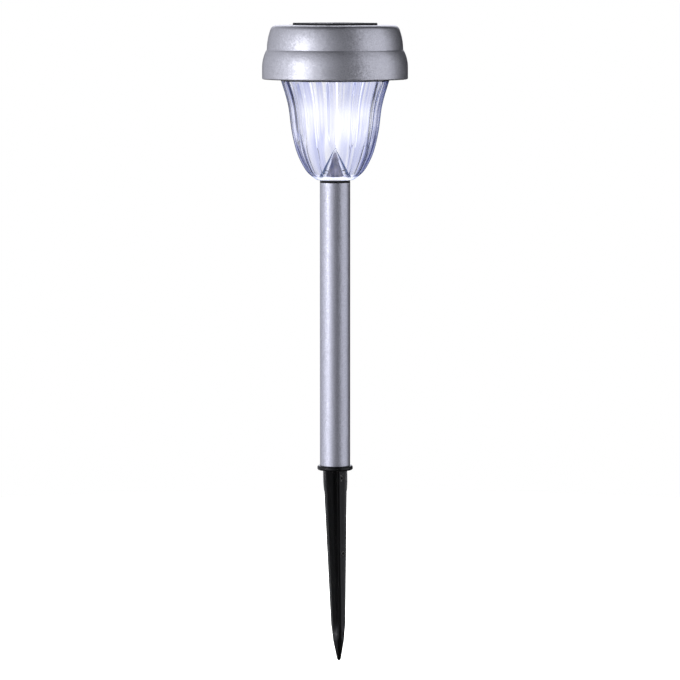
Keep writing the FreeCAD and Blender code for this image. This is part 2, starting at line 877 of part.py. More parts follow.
def battery_door():
    body = new_body("battery_door")
    bottom = S["plate_bottom"]
    half = S["door_width"] / 2
    y = S["battery_y"]
    face = rounded_rectangle(
        body, "door_face", S["door_start"], S["door_end"], y - half, y + half, S["door_corner"], bottom
    )
    pad(body, face, S["door_height"])
    top = bottom + S["door_height"]
    rib_top = S["battery_z"] - S["battery_width"] / 2 - 0.1
    half_rib = S["rib_width"] / 2
    for name, x in (("left_rib", S["battery_start"] + 8), ("right_rib", S["box_end"] - 12)):
        rib = rectangle(body, name, x, x + S["rib_length"], y - half_rib, y + half_rib, top)
        pad(body, rib, rib_top - top)
    spot = [(S["door_screw_x"], y)]
    hole = circles(body, "door_hole", spot, S["small_shank"] + S["hole_play"], bottom)
    pocket(body, hole, S["door_height"] + 1, up=True)
    return body


# ---------------------------------------------------------------- Screws

def screw(name, x, y, seat, head, head_height, shank, length, upwards):
    """A pan-head screw whose head meets the seat height. Its shank points up or down."""
    seat = size(seat)
    if upwards:
        head_piece = cylinder(name + "_head", head, seat - head_height, seat, x, y)
        shank_piece = cylinder(name + "_shank", shank, seat, seat + length, x, y)
    else:
        head_piece = cylinder(name + "_head", head, seat, seat + head_height, x, y)
        shank_piece = cylinder(name + "_shank", shank, seat - length, seat, x, y)
    whole = fuse(name + "_whole", head_piece, shank_piece)
    slot_half = size(0.35)
    slot_low = seat - head_height if upwards else seat + head_height - 0.4
    slot = box(
        name + "_slot", (size(x) - head, size(y) - slot_half, slot_low),
        (size(x) + head, size(y) + slot_half, slot_low + 0.4),
    )
    return cut(name + "_cut", whole, slot)


def housing_screws():
    screws = []
    for number in range(int(S["screw_count"].number)):
        spot = turn(360 // int(S["screw_count"].number) * number, S["boss_angle"])
        x = spot[0] * S["boss_circle"] / 2
        y = spot[1] * S["boss_circle"] / 2
        screws.append(screw(
            f"housing_screw_{number + 1}", x, y, S["plate_bottom"], S["screw_head"],
            S["screw_head_height"], S["screw_shank"], S["screw_length"], True,
        ))
    return group("housing_screws_group", screws)


def board_screws():
    seat = S["board_bottom"] + S["circuit_thickness"]
    screws = []
    for side, x in (("left", -S["post_x"]), ("right", S["post_x"])):
        screws.append(screw(
            f"board_screw_{side}", x, S["post_y"], seat, S["small_head"],
            S["small_head_height"], S["small_shank"], S["small_length"], False,
        ))
    return group("board_screws_group", screws)


def door_screw():
    return screw(
        "door_screw", S["door_screw_x"], S["battery_y"], S["plate_bottom"], S["small_head"],
        S["small_head_height"], S["small_shank"], S["small_length"], True,
    )


# ---------------------------------------------------------------- Electronics

def circuit_board():
    body = new_body("circuit_board")
    bottom = S["board_bottom"]
    sheet = rectangle(
        body, "circuit_sheet", S["board_left"], S["board_right"], S["board_front"], S["board_back"], bottom
    )
    pad(body, sheet, S["circuit_thickness"])
    posts = [(-S["post_x"], S["post_y"]), (S["post_x"], S["post_y"])]
    holes = circles(body, "fixing_holes", posts, S["small_shank"] + 0.4, bottom)
    pocket(body, holes, S["circuit_thickness"] + 1, up=True)
    half_pitch = S["lead_pitch"] / 2
    leads = [(-half_pitch, 0), (half_pitch, 0)]
    lead_holes = circles(body, "lead_holes", leads, S["lead_width"] + S["slot_play"], bottom)
    pocket(body, lead_holes, S["circuit_thickness"] + 1, up=True)
    return body


def led():
    flange_bottom = S["plate_top"]
    flange_top = flange_bottom + S["led_flange_height"]
    radius = S["led_width"] / 2
    return turned("led", [
        (0, S["led_tip"]),
        (radius, S["led_tip"] + radius, radius),
        (radius, flange_bottom),
        (S["led_flange"] / 2, flange_bottom),
        (S["led_flange"] / 2, flange_top),
        (0, flange_top),
    ])


def led_leads():
    start = S["plate_top"] + S["led_flange_height"]
    end = S["board_bottom"] + S["circuit_thickness"] + S["lead_stub"]
    half_pitch = S["lead_pitch"] / 2
    legs = [cylinder(f"lead_{side}", S["lead_width"], start, end, x)
            for side, x in (("left", -half_pitch), ("right", half_pitch))]
    return group("led_leads_group", legs)


def switch_case():
    half_length = S["switch_length"] / 2
    half_width = S["switch_width"] / 2
    x = S["switch_x"]
    y = S["switch_y"]
    shell = box(
        "switch_shell", (x - half_length, y - half_width, S["switch_bottom"]),
        (x + half_length, y + half_width, S["board_bottom"]),
    )
    floor = S["switch_bottom"] + S["switch_wall"]
    chamber = box(
        "switch_chamber", (x - S["chamber_length"] / 2, y - S["chamber_width"] / 2, floor),
        (x + S["chamber_length"] / 2, y + S["chamber_width"] / 2, S["chamber_top"]),
    )
    half_slot = S["stem_width"] / 2 + S["slider_play"]
    slot = box(
        "switch_slot", (x - S["stem_slot"] / 2, y - half_slot, S["switch_bottom"]),
        (x + S["stem_slot"] / 2, y + half_slot, floor),
    )
    return cut("switch_case_cut", shell, fuse("switch_hollow", chamber, slot))


def switch_slider():
    """The slider at its first stop, half the travel before the middle of its slot."""
    x = S["switch_x"] - S["switch_travel"] / 2
    y = S["switch_y"]
    head_bottom = S["switch_bottom"] + S["switch_wall"] * 2
    stem = box(
        "slider_stem", (x - S["stem_length"] / 2, y - S["stem_width"] / 2, S["stem_bottom"]),
        (x + S["stem_length"] / 2, y + S["stem_width"] / 2, head_bottom),
    )
    head = box(
        "slider_head", (x - S["slider_head"] / 2, y - S["slider_head_width"] / 2, head_bottom),
        (x + S["slider_head"] / 2, y + S["slider_head_width"] / 2, head_bottom + S["slider_head_height"]),
    )
    return fuse("switch_slider_fused", stem, head)


def driver_chip():
    top = S["board_bottom"] + S["circuit_thickness"]
    return box(
        "chip_block", (-S["chip_length"] / 2, -11, top),
        (S["chip_length"] / 2, S["chip_width"] - 11, top + S["chip_height"]),
    )


def inductor():
    """A drum choke standing on the board."""
    top = S["board_bottom"] + S["circuit_thickness"]
    end = top + S["inductor_height"]
    x = size(9)
    y = size(-11)
    lower = cylinder("drum_lower", S["inductor_width"], top, top + 1, x, y)
    core = cylinder("drum_core", S["inductor_core"], top, end, x, y)
    upper = cylinder("drum_upper", S["inductor_width"], end - 1, end, x, y)
    return fuse("inductor_fused", lower, core, upper)


def wire_run(name, route, bend=3.0):
    """A round wire along straight runs joined by tangent arcs."""
    points = [V(*point) for point in route]
    radius = S["wire_width"].number / 2
    edges = []
    start = points[0]
    for index in range(1, len(points) - 1):
        arriving = (points[index] - points[index - 1]).normalize()
        leaving = (points[index + 1] - points[index]).normalize()
        half_turn = arriving.getAngle(leaving) / 2
        back = bend * math.tan(half_turn)
        arc_start = points[index] - arriving * back
        arc_end = points[index] + leaving * back
        to_centre = (leaving - arriving).normalize()
        centre = points[index] + to_centre * (bend / math.cos(half_turn))
        edges.append(Part.LineSegment(start, arc_start).toShape())
        edges.append(Part.Arc(arc_start, centre - to_centre * bend, arc_end).toShape())
        start = arc_end
    edges.append(Part.LineSegment(start, points[-1]).toShape())
    path = Part.Wire(edges)
    first = (points[1] - points[0]).normalize()
    section = Part.Wire(Part.makeCircle(radius, points[0], first))
    item = doc.addObject("Part::Feature", name + "_shape")
    item.Shape = path.makePipeShell([section], True, False)
    item.Placement = FreeCAD.Placement()
    return item


def panel_wire(name, side):
    """From the panel's underside, through the cap's hole, down to the circuit board."""
    top = panel_levels()[1].number
    board = S["board_bottom"].number + S["circuit_thickness"].number
    return wire_run(name, [
        (side * 1.4, 0, top),
        (side * 1.4, 0, top - 8),
        (side * 13.6, -3, board + 7),
        (side * 13.6, -3, board),
    ])


def battery_wire(name, side):
    """From a contact's solder tab, over the battery box, down to the circuit board."""
    tab_top = S["contact_top"].number - 1.2 + S["contact_thickness"].number
    board = S["board_bottom"].number + S["circuit_thickness"].number
    end = S["battery_start"].number + S["battery_length"].number + S["tab_reach"].number
    if side < 0:
        end = S["box_start"].number + 0.05 + S["contact_thickness"].number - S["tab_reach"].number
    x = end - side * 0.6
    over = S["box_ceiling"].number + 3.4
    return wire_run(name, [
        (x, S["battery_y"].number, tab_top),
        (x, S["battery_y"].number, over),
        (side * 14.2, -8, over),
        (side * 14.2, -8, board),
    ], bend=2.4)


# ---------------------------------------------------------------- The assembly

SUB_PARTS = {
    "spike": spike,
    "tube": tube,
    "lens": lens,
    "lens_seal": lens_seal,
    "top_cap": top_cap,
    "panel_pad": panel_pad,
    "panel_board": panel_board,
    "solar_cells": solar_cells,
    "panel_cover": panel_cover,
    "base_plate": base_plate,
    "housing_seal": housing_seal,
    "housing_screws": housing_screws,
    "battery_cell": battery_cell,
    "battery_plate": battery_plate,
    "battery_spring": battery_spring,
    "battery_door": battery_door,
    "door_screw": door_screw,
    "circuit_board": circuit_board,
    "board_screws": board_screws,
    "driver_chip": driver_chip,
    "inductor": inductor,
    "led": led,
    "led_leads": led_leads,
    "switch_case": switch_case,
    "switch_slider": switch_slider,
    "panel_wire_red": lambda: panel_wire("panel_wire_red", -1),
    "panel_wire_black": lambda: panel_wire("panel_wire_black", 1),
    "battery_wire_red": lambda: battery_wire("battery_wire_red", 1),
    "battery_wire_black": lambda: battery_wire("battery_wire_black", -1),
}


def check_document():
    """Stops if any object failed to compute."""
    failed = [item.Name for item in doc.Objects if "Invalid" in item.State or "Error" in item.State]
    if failed:
        raise RuntimeError(f"failed to compute: {failed}")


def write_parts(built):
    for name, item in built.items():
        shape = item.Shape
        if shape.isNull() or not shape.isValid():
            raise RuntimeError(f"{name} has no valid shape")
        print(f"{name}: {len(shape.Solids)} solid(s), {shape.Volume:.1f} mm3")
    os.makedirs("parts", exist_ok=True)
    for name, item in built.items():
        item.Shape.exportStep(f"parts/{name}.step")


sub_parts = {}
for label, make in SUB_PARTS.items():
    sub_parts[label] = make()
    sub_parts[label].Label = label
doc.recompute()
check_document()
write_parts(sub_parts)
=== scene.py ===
import math

import bmesh
import bpy
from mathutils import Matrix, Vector


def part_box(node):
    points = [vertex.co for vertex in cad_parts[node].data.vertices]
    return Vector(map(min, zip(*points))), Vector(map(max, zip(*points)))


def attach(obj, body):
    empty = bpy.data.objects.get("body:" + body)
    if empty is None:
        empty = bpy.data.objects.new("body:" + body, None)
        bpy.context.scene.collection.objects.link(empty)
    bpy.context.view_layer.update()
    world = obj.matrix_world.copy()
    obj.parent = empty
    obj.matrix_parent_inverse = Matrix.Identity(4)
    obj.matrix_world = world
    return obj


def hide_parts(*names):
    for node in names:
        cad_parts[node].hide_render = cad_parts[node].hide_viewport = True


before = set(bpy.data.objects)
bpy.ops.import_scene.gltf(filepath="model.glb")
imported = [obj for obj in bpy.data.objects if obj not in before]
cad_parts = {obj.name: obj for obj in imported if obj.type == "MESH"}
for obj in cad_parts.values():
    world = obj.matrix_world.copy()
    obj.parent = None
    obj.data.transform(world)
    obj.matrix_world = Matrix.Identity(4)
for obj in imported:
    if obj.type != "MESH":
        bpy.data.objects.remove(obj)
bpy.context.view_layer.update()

MM = 0.001
TURN = 2 * math.pi
# How far from a rounded corner the point lies that keeps the flat beside it evenly shaded.
SUPPORT = 0.15 * MM


# ---------------------------------------------------------------- Sizes, most of them read from the frame

def radius_of(node):
    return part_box(node)[1].x


def bottom_of(node):
    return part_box(node)[0].z


def top_of(node):
    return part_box(node)[1].z


TIP = bottom_of("spike")
PLUG_TOP = top_of("spike")
FLANGE_RADIUS = radius_of("spike")
FLANGE_TOP = bottom_of("tube")
FLANGE_BOTTOM = -0.6 * MM
SPIKE_TURN = math.radians(16.0)
LEAN = math.tan(math.radians(1.15))
# The blades' half width at the flange, and lower down where they begin to close.
STAKE_WIDTH_HIGH = 7.9 * MM
STAKE_WIDTH_LOW = 4.85 * MM
STAKE_LOW = -96 * MM
TUBE_TOP = top_of("tube")
TUBE_RADIUS = radius_of("tube")
TUBE_INSIDE = TUBE_RADIUS - 0.6 * MM
# How far down from the tube's top the painted shadow line reaches.
TUBE_SHADOW_LINE = 0.7 * MM
SPIGOT_RADIUS = TUBE_INSIDE - 0.05 * MM
SHOULDER_RADIUS = 9.45 * MM
LENS_FOOT = TUBE_TOP + 1.0 * MM
LENS_FLOOR = LENS_FOOT + 1.3 * MM
LENS_TOP = top_of("lens")
LENS_WALL = 1.6 * MM
NECK_RADIUS = 34.4 * MM
CONE_TOP = LENS_FOOT + 20.0 * MM
CONE_RADIUS = 10.7 * MM
CONE_HOLLOW = 3.7 * MM
CONE_RECESS = 9.1 * MM
CAP_BOTTOM = bottom_of("top_cap")
CAP_TOP = top_of("top_cap")
CAP_RADIUS = radius_of("top_cap")
PANEL_BOTTOM = bottom_of("panel_pad")
PANEL_TOP = top_of("panel_cover")
PANEL_HALF = 19.0 * MM
PANEL_ANGLE = math.radians(-53.6)


# ---------------------------------------------------------------- Mesh building

def new_object(name, mesh, body, materials, sharp=35.0):
    """Finishes a mesh as a piece: smooth shading with sharp edges kept, its materials and its body."""
    mesh.validate()
    for polygon in mesh.polygons:
        polygon.use_smooth = True
    mesh.set_sharp_from_angle(angle=math.radians(sharp))
    for material in materials:
        mesh.materials.append(material)
    piece = bpy.data.objects.new(name, mesh)
    bpy.context.scene.collection.objects.link(piece)
    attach(piece, body)
    return piece


def mesh_from_rings(name, rings, close_first=True, close_last=True, loop=False):
    """A mesh through rings of points with equal counts. A ring of one point is a pole."""
    mesh = bpy.data.meshes.new(name)
    vertices = []
    starts = []
    for ring in rings:
        starts.append(len(vertices))
        vertices.extend(ring)
    faces = []
    pairs = list(zip(range(len(rings) - 1), range(1, len(rings))))
    if loop:
        pairs.append((len(rings) - 1, 0))
    for low, high in pairs:
        a = len(rings[low])
        b = len(rings[high])
        count = max(a, b)
        for i in range(count):
            j = (i + 1) % count
            lower = (starts[low] + i % a, starts[low] + j % a)
            upper = (starts[high] + j % b, starts[high] + i % b)
            faces.append(list(dict.fromkeys(lower + upper)))
    if close_first and len(rings[0]) > 1:
        faces.append([starts[0] + i for i in reversed(range(len(rings[0])))])
    if close_last and len(rings[-1]) > 1:
        faces.append([starts[-1] + i for i in range(len(rings[-1]))])
    mesh.from_pydata([tuple(v) for v in vertices], [], faces)
    mesh.update()
    return mesh


def facing_out(mesh):
    """Turns all faces outwards."""
    work = bmesh.new()
    work.from_mesh(mesh)
    bmesh.ops.recalc_face_normals(work, faces=work.faces)
    work.to_mesh(mesh)
    work.free()
    return mesh


def rounded_profile(corners, steps):
    """Rounds the corners of an (r, z, fillet radius) outline into short arcs.

    A point a little outside each arc keeps the flats beside it evenly shaded.
    """
    points = []
    for index, (r, z, fillet) in enumerate(corners):
        here = Vector((r, z))
        if fillet == 0 or index in (0, len(corners) - 1):
            points.append(here)
            continue
        before = Vector(corners[index - 1][:2]) - here
        after = Vector(corners[index + 1][:2]) - here
        half = before.angle(after) / 2
        reach = min(fillet / math.tan(half), before.length * 0.49, after.length * 0.49)
        size = reach * math.tan(half)
        start = here + before.normalized() * reach
        end = here + after.normalized() * reach
        inward = (before.normalized() + after.normalized()).normalized()
        centre = here + inward * (size / math.sin(half))
        first = start - centre
        last = end - centre
        sweep = first.angle_signed(last)
        if before.length > 2 * (reach + SUPPORT):
            points.append(start + before.normalized() * SUPPORT)
        for step in range(steps + 1):
            spin = -sweep * step / steps
            points.append(centre + Vector((
                first.x * math.cos(spin) - first.y * math.sin(spin),
                first.x * math.sin(spin) + first.y * math.cos(spin),
            )))
        if after.length > 2 * (reach + SUPPORT):
            points.append(end + after.normalized() * SUPPORT)
    return points


def angles_around(count):
    """Even angles round a full turn."""
    return [TURN * i / count for i in range(count)]


def ring_at(radius, height, angles):
    """A ring of points round the axis, or one point where the radius is nothing."""
    if radius < 1e-7:
        return [Vector((0.0, 0.0, height))]
    return [Vector((radius * math.cos(a), radius * math.sin(a), height)) for a in angles]


def lathe(name, profile, count, closed=False):
    """Turns an outline of (r, z) points about the axis."""
    angles = angles_around(count)
    rings = [ring_at(p[0], p[1], angles) for p in profile]
    return facing_out(mesh_from_rings(name, rings, not closed, not closed, closed))


def smooth_curve(points, per_span):
    """A Catmull-Rom curve through the points, each a tuple of equal length."""
    padded = [points[0], *points, points[-1]]
    curve = []
    for k in range(1, len(padded) - 2):
        p0, p1, p2, p3 = padded[k - 1:k + 3]
        for step in range(per_span):
            t = step / per_span
            curve.append(tuple(
                0.5 * (2 * b + (c - a) * t + (2 * a - 5 * b + 4 * c - d) * t * t
                       + (3 * b - a - 3 * c + d) * t ** 3)
                for a, b, c, d in zip(p0, p1, p2, p3)
            ))
    curve.append(tuple(points[-1]))
    return curve


# ---------------------------------------------------------------- Materials

# How strongly the lens's painted glow shows, and how strongly it is tinted, by height from its foot (0) to
# its top (1); the tint thins out at mid-height, a painted brightening where the lamp's light falls.
GLOW_BAND = ((0.0, 0.1), (0.2, 0.25), (0.4, 0.9), (0.6, 1.0), (0.75, 0.4), (0.9, 0.0))
TINT_BAND = ((0.0, 0.9), (0.3, 0.8), (0.45, 0.35), (0.6, 0.3), (0.78, 0.9), (1.0, 1.0))


class Nodes:
    """A short way to write a node tree."""

    def __init__(self, tree):
        self.tree = tree

    def add(self, kind, inputs=None, **settings):
        node = self.tree.nodes.new("ShaderNode" + kind)
        for name, value in settings.items():
            setattr(node, name, value)
        for name, value in (inputs or {}).items():
            self.feed(node.inputs[name], value)
        return node

    def feed(self, socket, value):
        if isinstance(value, bpy.types.NodeSocket):
            self.tree.links.new(value, socket)
        else:
            socket.default_value = value

    def math(self, operation, *values):
        node = self.add("Math", operation=operation)
        for socket, value in zip(node.inputs, values):
            self.feed(socket, value)
        return node.outputs[0]

    def ramp(self, factor, stops):
        """A ColorRamp through (position, grey or colour) stops."""
        node = self.add("ValToRGB", {"Fac": factor})
        elements = node.color_ramp.elements
        while len(elements) < len(stops):
            elements.new(1.0)
        for element, (position, value) in zip(elements, stops):
            element.position = position
            element.color = (*value, 1.0) if isinstance(value, tuple) else (value, value, value, 1.0)
        return node.outputs["Color"]

    def times(self, first, second):
        """Two colours multiplied."""
        node = self.add("Mix", data_type="RGBA", blend_type="MULTIPLY")
        node.inputs["Factor"].default_value = 1.0
        self.feed(node.inputs["A"], first)
        self.feed(node.inputs["B"], second)
        return node.outputs["Result"]

    def mix(self, factor, first, second):
        node = self.add("Mix", data_type="RGBA")
        self.feed(node.inputs["Factor"], factor)
        self.feed(node.inputs["A"], first)
        self.feed(node.inputs["B"], second)
        return node.outputs["Result"]


def new_material(name):
    """A material with a Principled shader, its node helper and object-space coordinates."""
    material = bpy.data.materials.new(name)
    material.use_nodes = True
    material.node_tree.nodes.clear()
    nodes = Nodes(material.node_tree)
    shader = nodes.add("BsdfPrincipled")
    output = nodes.add("OutputMaterial")
    nodes.feed(output.inputs["Surface"], shader.outputs["BSDF"])
    where = nodes.add("TexCoord").outputs["Object"]
    return material, nodes, shader, where


def noise_of(nodes, where, scale, detail=3.0, roughness=0.5):
    """Smooth noise from 0 to 1."""
    return nodes.add(
        "TexNoise", {"Vector": where, "Scale": scale, "Detail": detail, "Roughness": roughness}
    ).outputs["Fac"]


def stretched(nodes, where, scale):
    """Coordinates scaled by (x, y, z)."""
    return nodes.add("Mapping", {"Vector": where, "Scale": scale}).outputs["Vector"]


def grain_bump(nodes, height, depth, strength, under=None):
    """Fine relief in the surface, over another normal where one is given."""
    inputs = {"Height": height, "Distance": depth, "Strength": strength}
    if under is not None:
        inputs["Normal"] = under
    return nodes.add("Bump", inputs).outputs["Normal"]


def silver_paint(name, tint=(0.62, 0.622, 0.655), gloss=0.27, tilt=0.15, flake=0.5 * MM):
    """Metallic paint: flakes that each tilt a little and catch the light one by one."""
    material, nodes, shader, where = new_material(name)
    flakes = nodes.add("TexVoronoi", {"Vector": where, "Scale": 1.0 / flake})
    spread = nodes.add("SeparateColor", {"Color": flakes.outputs["Color"]})
    cloud = noise_of(nodes, where, 90.0)
    brightness = nodes.math("MULTIPLY_ADD", spread.outputs[0], 0.24, 0.86)
    brightness = nodes.math("MULTIPLY_ADD", cloud, 0.06, brightness)
    grey = nodes.add("CombineColor", {"Red": brightness, "Green": brightness, "Blue": brightness})
    nodes.feed(shader.inputs["Base Color"], nodes.times((*tint, 1.0), grey.outputs[0]))
    shader.inputs["Metallic"].default_value = 0.94
    rough = nodes.math("MULTIPLY_ADD", cloud, 0.06, gloss)
    nodes.feed(shader.inputs["Roughness"], nodes.math("MULTIPLY_ADD", spread.outputs[1], 0.05, rough))
    lean = nodes.add("VectorMath", operation="MULTIPLY_ADD")
    nodes.feed(lean.inputs[0], flakes.outputs["Color"])
    nodes.feed(lean.inputs[1], (tilt, tilt, tilt))
    nodes.feed(lean.inputs[2], (-tilt / 2, -tilt / 2, -tilt / 2))
    tilted = nodes.add("VectorMath", operation="ADD")
    nodes.feed(tilted.inputs[0], nodes.add("NewGeometry").outputs["Normal"])
    nodes.feed(tilted.inputs[1], lean.outputs[0])
    facing = nodes.add("VectorMath", operation="NORMALIZE")
    nodes.feed(facing.inputs[0], tilted.outputs[0])
    peel = noise_of(nodes, where, 700.0, 2.0)
    nodes.feed(shader.inputs["Normal"], grain_bump(nodes, peel, 0.02 * MM, 0.3, facing.outputs[0]))
    return material


def moulded_plastic(name, tint, roughness=0.4, grain=0.02 * MM, scratch=0.25, gloss=0.5):
    """Moulded plastic: a faint spark-eroded grain, cloudy gloss and long scuffs."""
    material, nodes, shader, where = new_material(name)
    cloud = noise_of(nodes, where, 120.0, 4.0)
    fine = noise_of(nodes, where, 2600.0, 2.0)
    scuffs = noise_of(nodes, stretched(nodes, where, (900.0, 900.0, 60.0)), 1.0, 3.0)
    worn = nodes.ramp(scuffs, ((0.56, 0.0), (0.72, 1.0)))
    pale = tuple(min(1.0, c * 1.6 + 0.012) for c in tint)
    dark = tuple(c * 0.8 for c in tint)
    base = nodes.mix(cloud, (*dark, 1.0), (*tint, 1.0))
    share = nodes.math("MULTIPLY", worn, scratch)
    nodes.feed(shader.inputs["Base Color"], nodes.mix(share, base, (*pale, 1.0)))
    rough = nodes.math("MULTIPLY_ADD", cloud, 0.16, roughness - 0.08)
    nodes.feed(shader.inputs["Roughness"], nodes.math("MULTIPLY_ADD", worn, 0.1, rough))
    nodes.feed(shader.inputs["Normal"], grain_bump(nodes, fine, grain, 0.6))
    shader.inputs["Specular IOR Level"].default_value = gloss
    return material


def stake_plastic(name, gloss):
    """Black plastic with scuffs, and a painted highlight: paler black along the outer edges of the blades,
    broken up by the scuffs.
    """
    material, nodes, shader, where = new_material(name)
    turned = nodes.add("Mapping", {"Vector": where, "Rotation": (0.0, 0.0, -SPIKE_TURN)})
    axes = nodes.add("SeparateXYZ", {"Vector": turned.outputs[0]})
    aside = nodes.math("MULTIPLY_ADD", axes.outputs["Z"], LEAN, axes.outputs["X"])
    width = nodes.add("MapRange", {
        "Value": axes.outputs["Z"], "From Min": STAKE_LOW, "From Max": 0.0,
        "To Min": STAKE_WIDTH_LOW, "To Max": STAKE_WIDTH_HIGH,
    }).outputs[0]
    share = nodes.math("DIVIDE", nodes.math("ABSOLUTE", aside), width)
    cloud = noise_of(nodes, where, 120.0, 4.0)
    fine = noise_of(nodes, where, 2600.0, 2.0)
    scuffs = noise_of(nodes, stretched(nodes, where, (900.0, 900.0, 60.0)), 1.0, 3.0)
    # Painted highlight on the outer edges of the blades, thinned out by the scuffs.
    edge_highlight = nodes.times(
        nodes.ramp(share, ((0.74, 0.0), (0.92, 1.0))), nodes.ramp(scuffs, ((0.3, 0.6), (0.7, 1.0)))
    )
    base = nodes.mix(cloud, (0.001, 0.001, 0.001, 1.0), (0.003, 0.003, 0.003, 1.0))
    nodes.feed(shader.inputs["Base Color"], nodes.mix(edge_highlight, base, (0.05, 0.05, 0.052, 1.0)))
    nodes.feed(shader.inputs["Roughness"], nodes.math("MULTIPLY_ADD", cloud, 0.16, 0.1))
    shader.inputs["Specular IOR Level"].default_value = gloss
    nodes.feed(shader.inputs["Normal"], grain_bump(nodes, fine, 0.005 * MM, 0.6))
    return material


def round_the_axis(nodes, where, around, along):
    """Coordinates that run round the light's axis, the same at every radius, and along it."""
    flat = nodes.add("VectorMath", operation="MULTIPLY")
    nodes.feed(flat.inputs[0], where)
    nodes.feed(flat.inputs[1], (1.0, 1.0, 0.0))
    direction = nodes.add("VectorMath", operation="NORMALIZE")
    nodes.feed(direction.inputs[0], flat.outputs[0])
    height = nodes.add("SeparateXYZ", {"Vector": where}).outputs["Z"]
    up = nodes.add("CombineXYZ", {"Z": nodes.math("MULTIPLY", height, along)})
    joined = nodes.add("VectorMath", operation="MULTIPLY_ADD")
    nodes.feed(joined.inputs[0], direction.outputs[0])
    nodes.feed(joined.inputs[1], (around, around, around))
    nodes.feed(joined.inputs[2], up.outputs[0])
    return joined.outputs[0]


def clear_plastic(name, glow, even=False, wave=0.15, rim=0.62, painted_edge_shade=(0.025, 0.055, 0.26)):
    """Clear lens plastic with upright flow marks, a faint tint and a painted glow, an emission that stands in
    for the lamp's light on the plastic.

    Seen edge-on, from rim upwards, its colour is painted dark blue: a painted shade for its dark outline. An
    even glow doesn't follow the height band.
    """
    material, nodes, shader, where = new_material(name)
    height = nodes.add("SeparateXYZ", {"Vector": where}).outputs["Z"]
    level = nodes.add("MapRange", {"Value": height, "From Min": LENS_FOOT, "From Max": LENS_TOP}).outputs[0]
    flow = noise_of(nodes, round_the_axis(nodes, where, 9.0, 8.0), 1.0, 3.0, 0.6)
    streak = nodes.ramp(
        noise_of(nodes, round_the_axis(nodes, where, 7.0, 12.0), 1.0, 2.0), ((0.42, 0.0), (0.56, 1.0))
    )
    # The tint, thinner at mid-height: partly the plastic's streaks, partly a painted brightening where the
    # lamp's light falls.
    share = nodes.times(streak, nodes.ramp(level, TINT_BAND))
    body = nodes.mix(share, (0.985, 0.985, 1.0, 1.0), (0.78, 0.80, 0.94, 1.0))
    # Painted shade: at grazing angles the colour turns dark blue.
    grazing = nodes.add("LayerWeight", {"Blend": 0.5}).outputs["Facing"]
    edge = nodes.ramp(grazing, ((rim, 0.0), (rim + 0.15, 1.0)))
    nodes.feed(shader.inputs["Base Color"], nodes.mix(edge, body, (*painted_edge_shade, 1.0)))
    shader.inputs["Transmission Weight"].default_value = 1.0
    shader.inputs["IOR"].default_value = 1.49
    nodes.feed(shader.inputs["Roughness"], nodes.math("MULTIPLY_ADD", flow, 0.02, 0.0))
    calm = nodes.ramp(level, ((0.26, 0.0), (0.40, 1.0)))
    nodes.feed(
        shader.inputs["Normal"], grain_bump(nodes, flow, 0.15 * MM, nodes.math("MULTIPLY", calm, wave))
    )
    if not glow:
        return material
    if even:
        light = nodes.ramp(flow, ((0.2, 0.7), (0.6, 1.0)))
    else:
        patch = noise_of(nodes, round_the_axis(nodes, where, 2.2, 45.0), 1.0, 1.0)
        light = nodes.times(nodes.ramp(patch, ((0.38, 0.1), (0.6, 1.0))), nodes.ramp(level, GLOW_BAND))
    # Painted light: the plastic's own emission stands in for the lamp's light falling on it.
    shader.inputs["Emission Color"].default_value = (0.95, 0.96, 1.0, 1.0)
    nodes.feed(shader.inputs["Emission Strength"], nodes.math("MULTIPLY", light, glow))
    return material


def inner_shade(name):
    """Painted shade and a painted glow on the faces of the hollow under the cone: dim, cloudy colours, which
    the faces also give out as a faint emission.
    """
    material, nodes, shader, where = new_material(name)
    cloud = noise_of(nodes, stretched(nodes, where, (500.0, 500.0, 160.0)), 1.0, 2.0)
    tones = ((0.3, (0.05, 0.06, 0.13)), (0.5, (0.15, 0.145, 0.18)), (0.7, (0.24, 0.23, 0.33)))
    tone = nodes.ramp(cloud, tones)
    nodes.feed(shader.inputs["Base Color"], tone)
    nodes.feed(shader.inputs["Roughness"], nodes.math("MULTIPLY_ADD", cloud, 0.2, 0.25))
    # The painted glow: the dim colours given out as light.
    nodes.feed(shader.inputs["Emission Color"], tone)
    shader.inputs["Emission Strength"].default_value = 0.6
    return material


def plain_metal(name, tint, roughness=0.3):
    """Plated metal with fine random scratches."""
    material, nodes, shader, where = new_material(name)
    cloud = noise_of(nodes, where, 400.0, 4.0)
    scratches = noise_of(nodes, stretched(nodes, where, (3000.0, 200.0, 3000.0)), 1.0, 2.0)
    dull = tuple(c * 0.75 for c in tint)
    nodes.feed(shader.inputs["Base Color"], nodes.mix(cloud, (*dull, 1.0), (*tint, 1.0)))
    shader.inputs["Metallic"].default_value = 1.0
    nodes.feed(shader.inputs["Roughness"], nodes.math("MULTIPLY_ADD", scratches, 0.25, roughness - 0.1))
    nodes.feed(shader.inputs["Normal"], grain_bump(nodes, scratches, 0.01 * MM, 0.5))
    return material


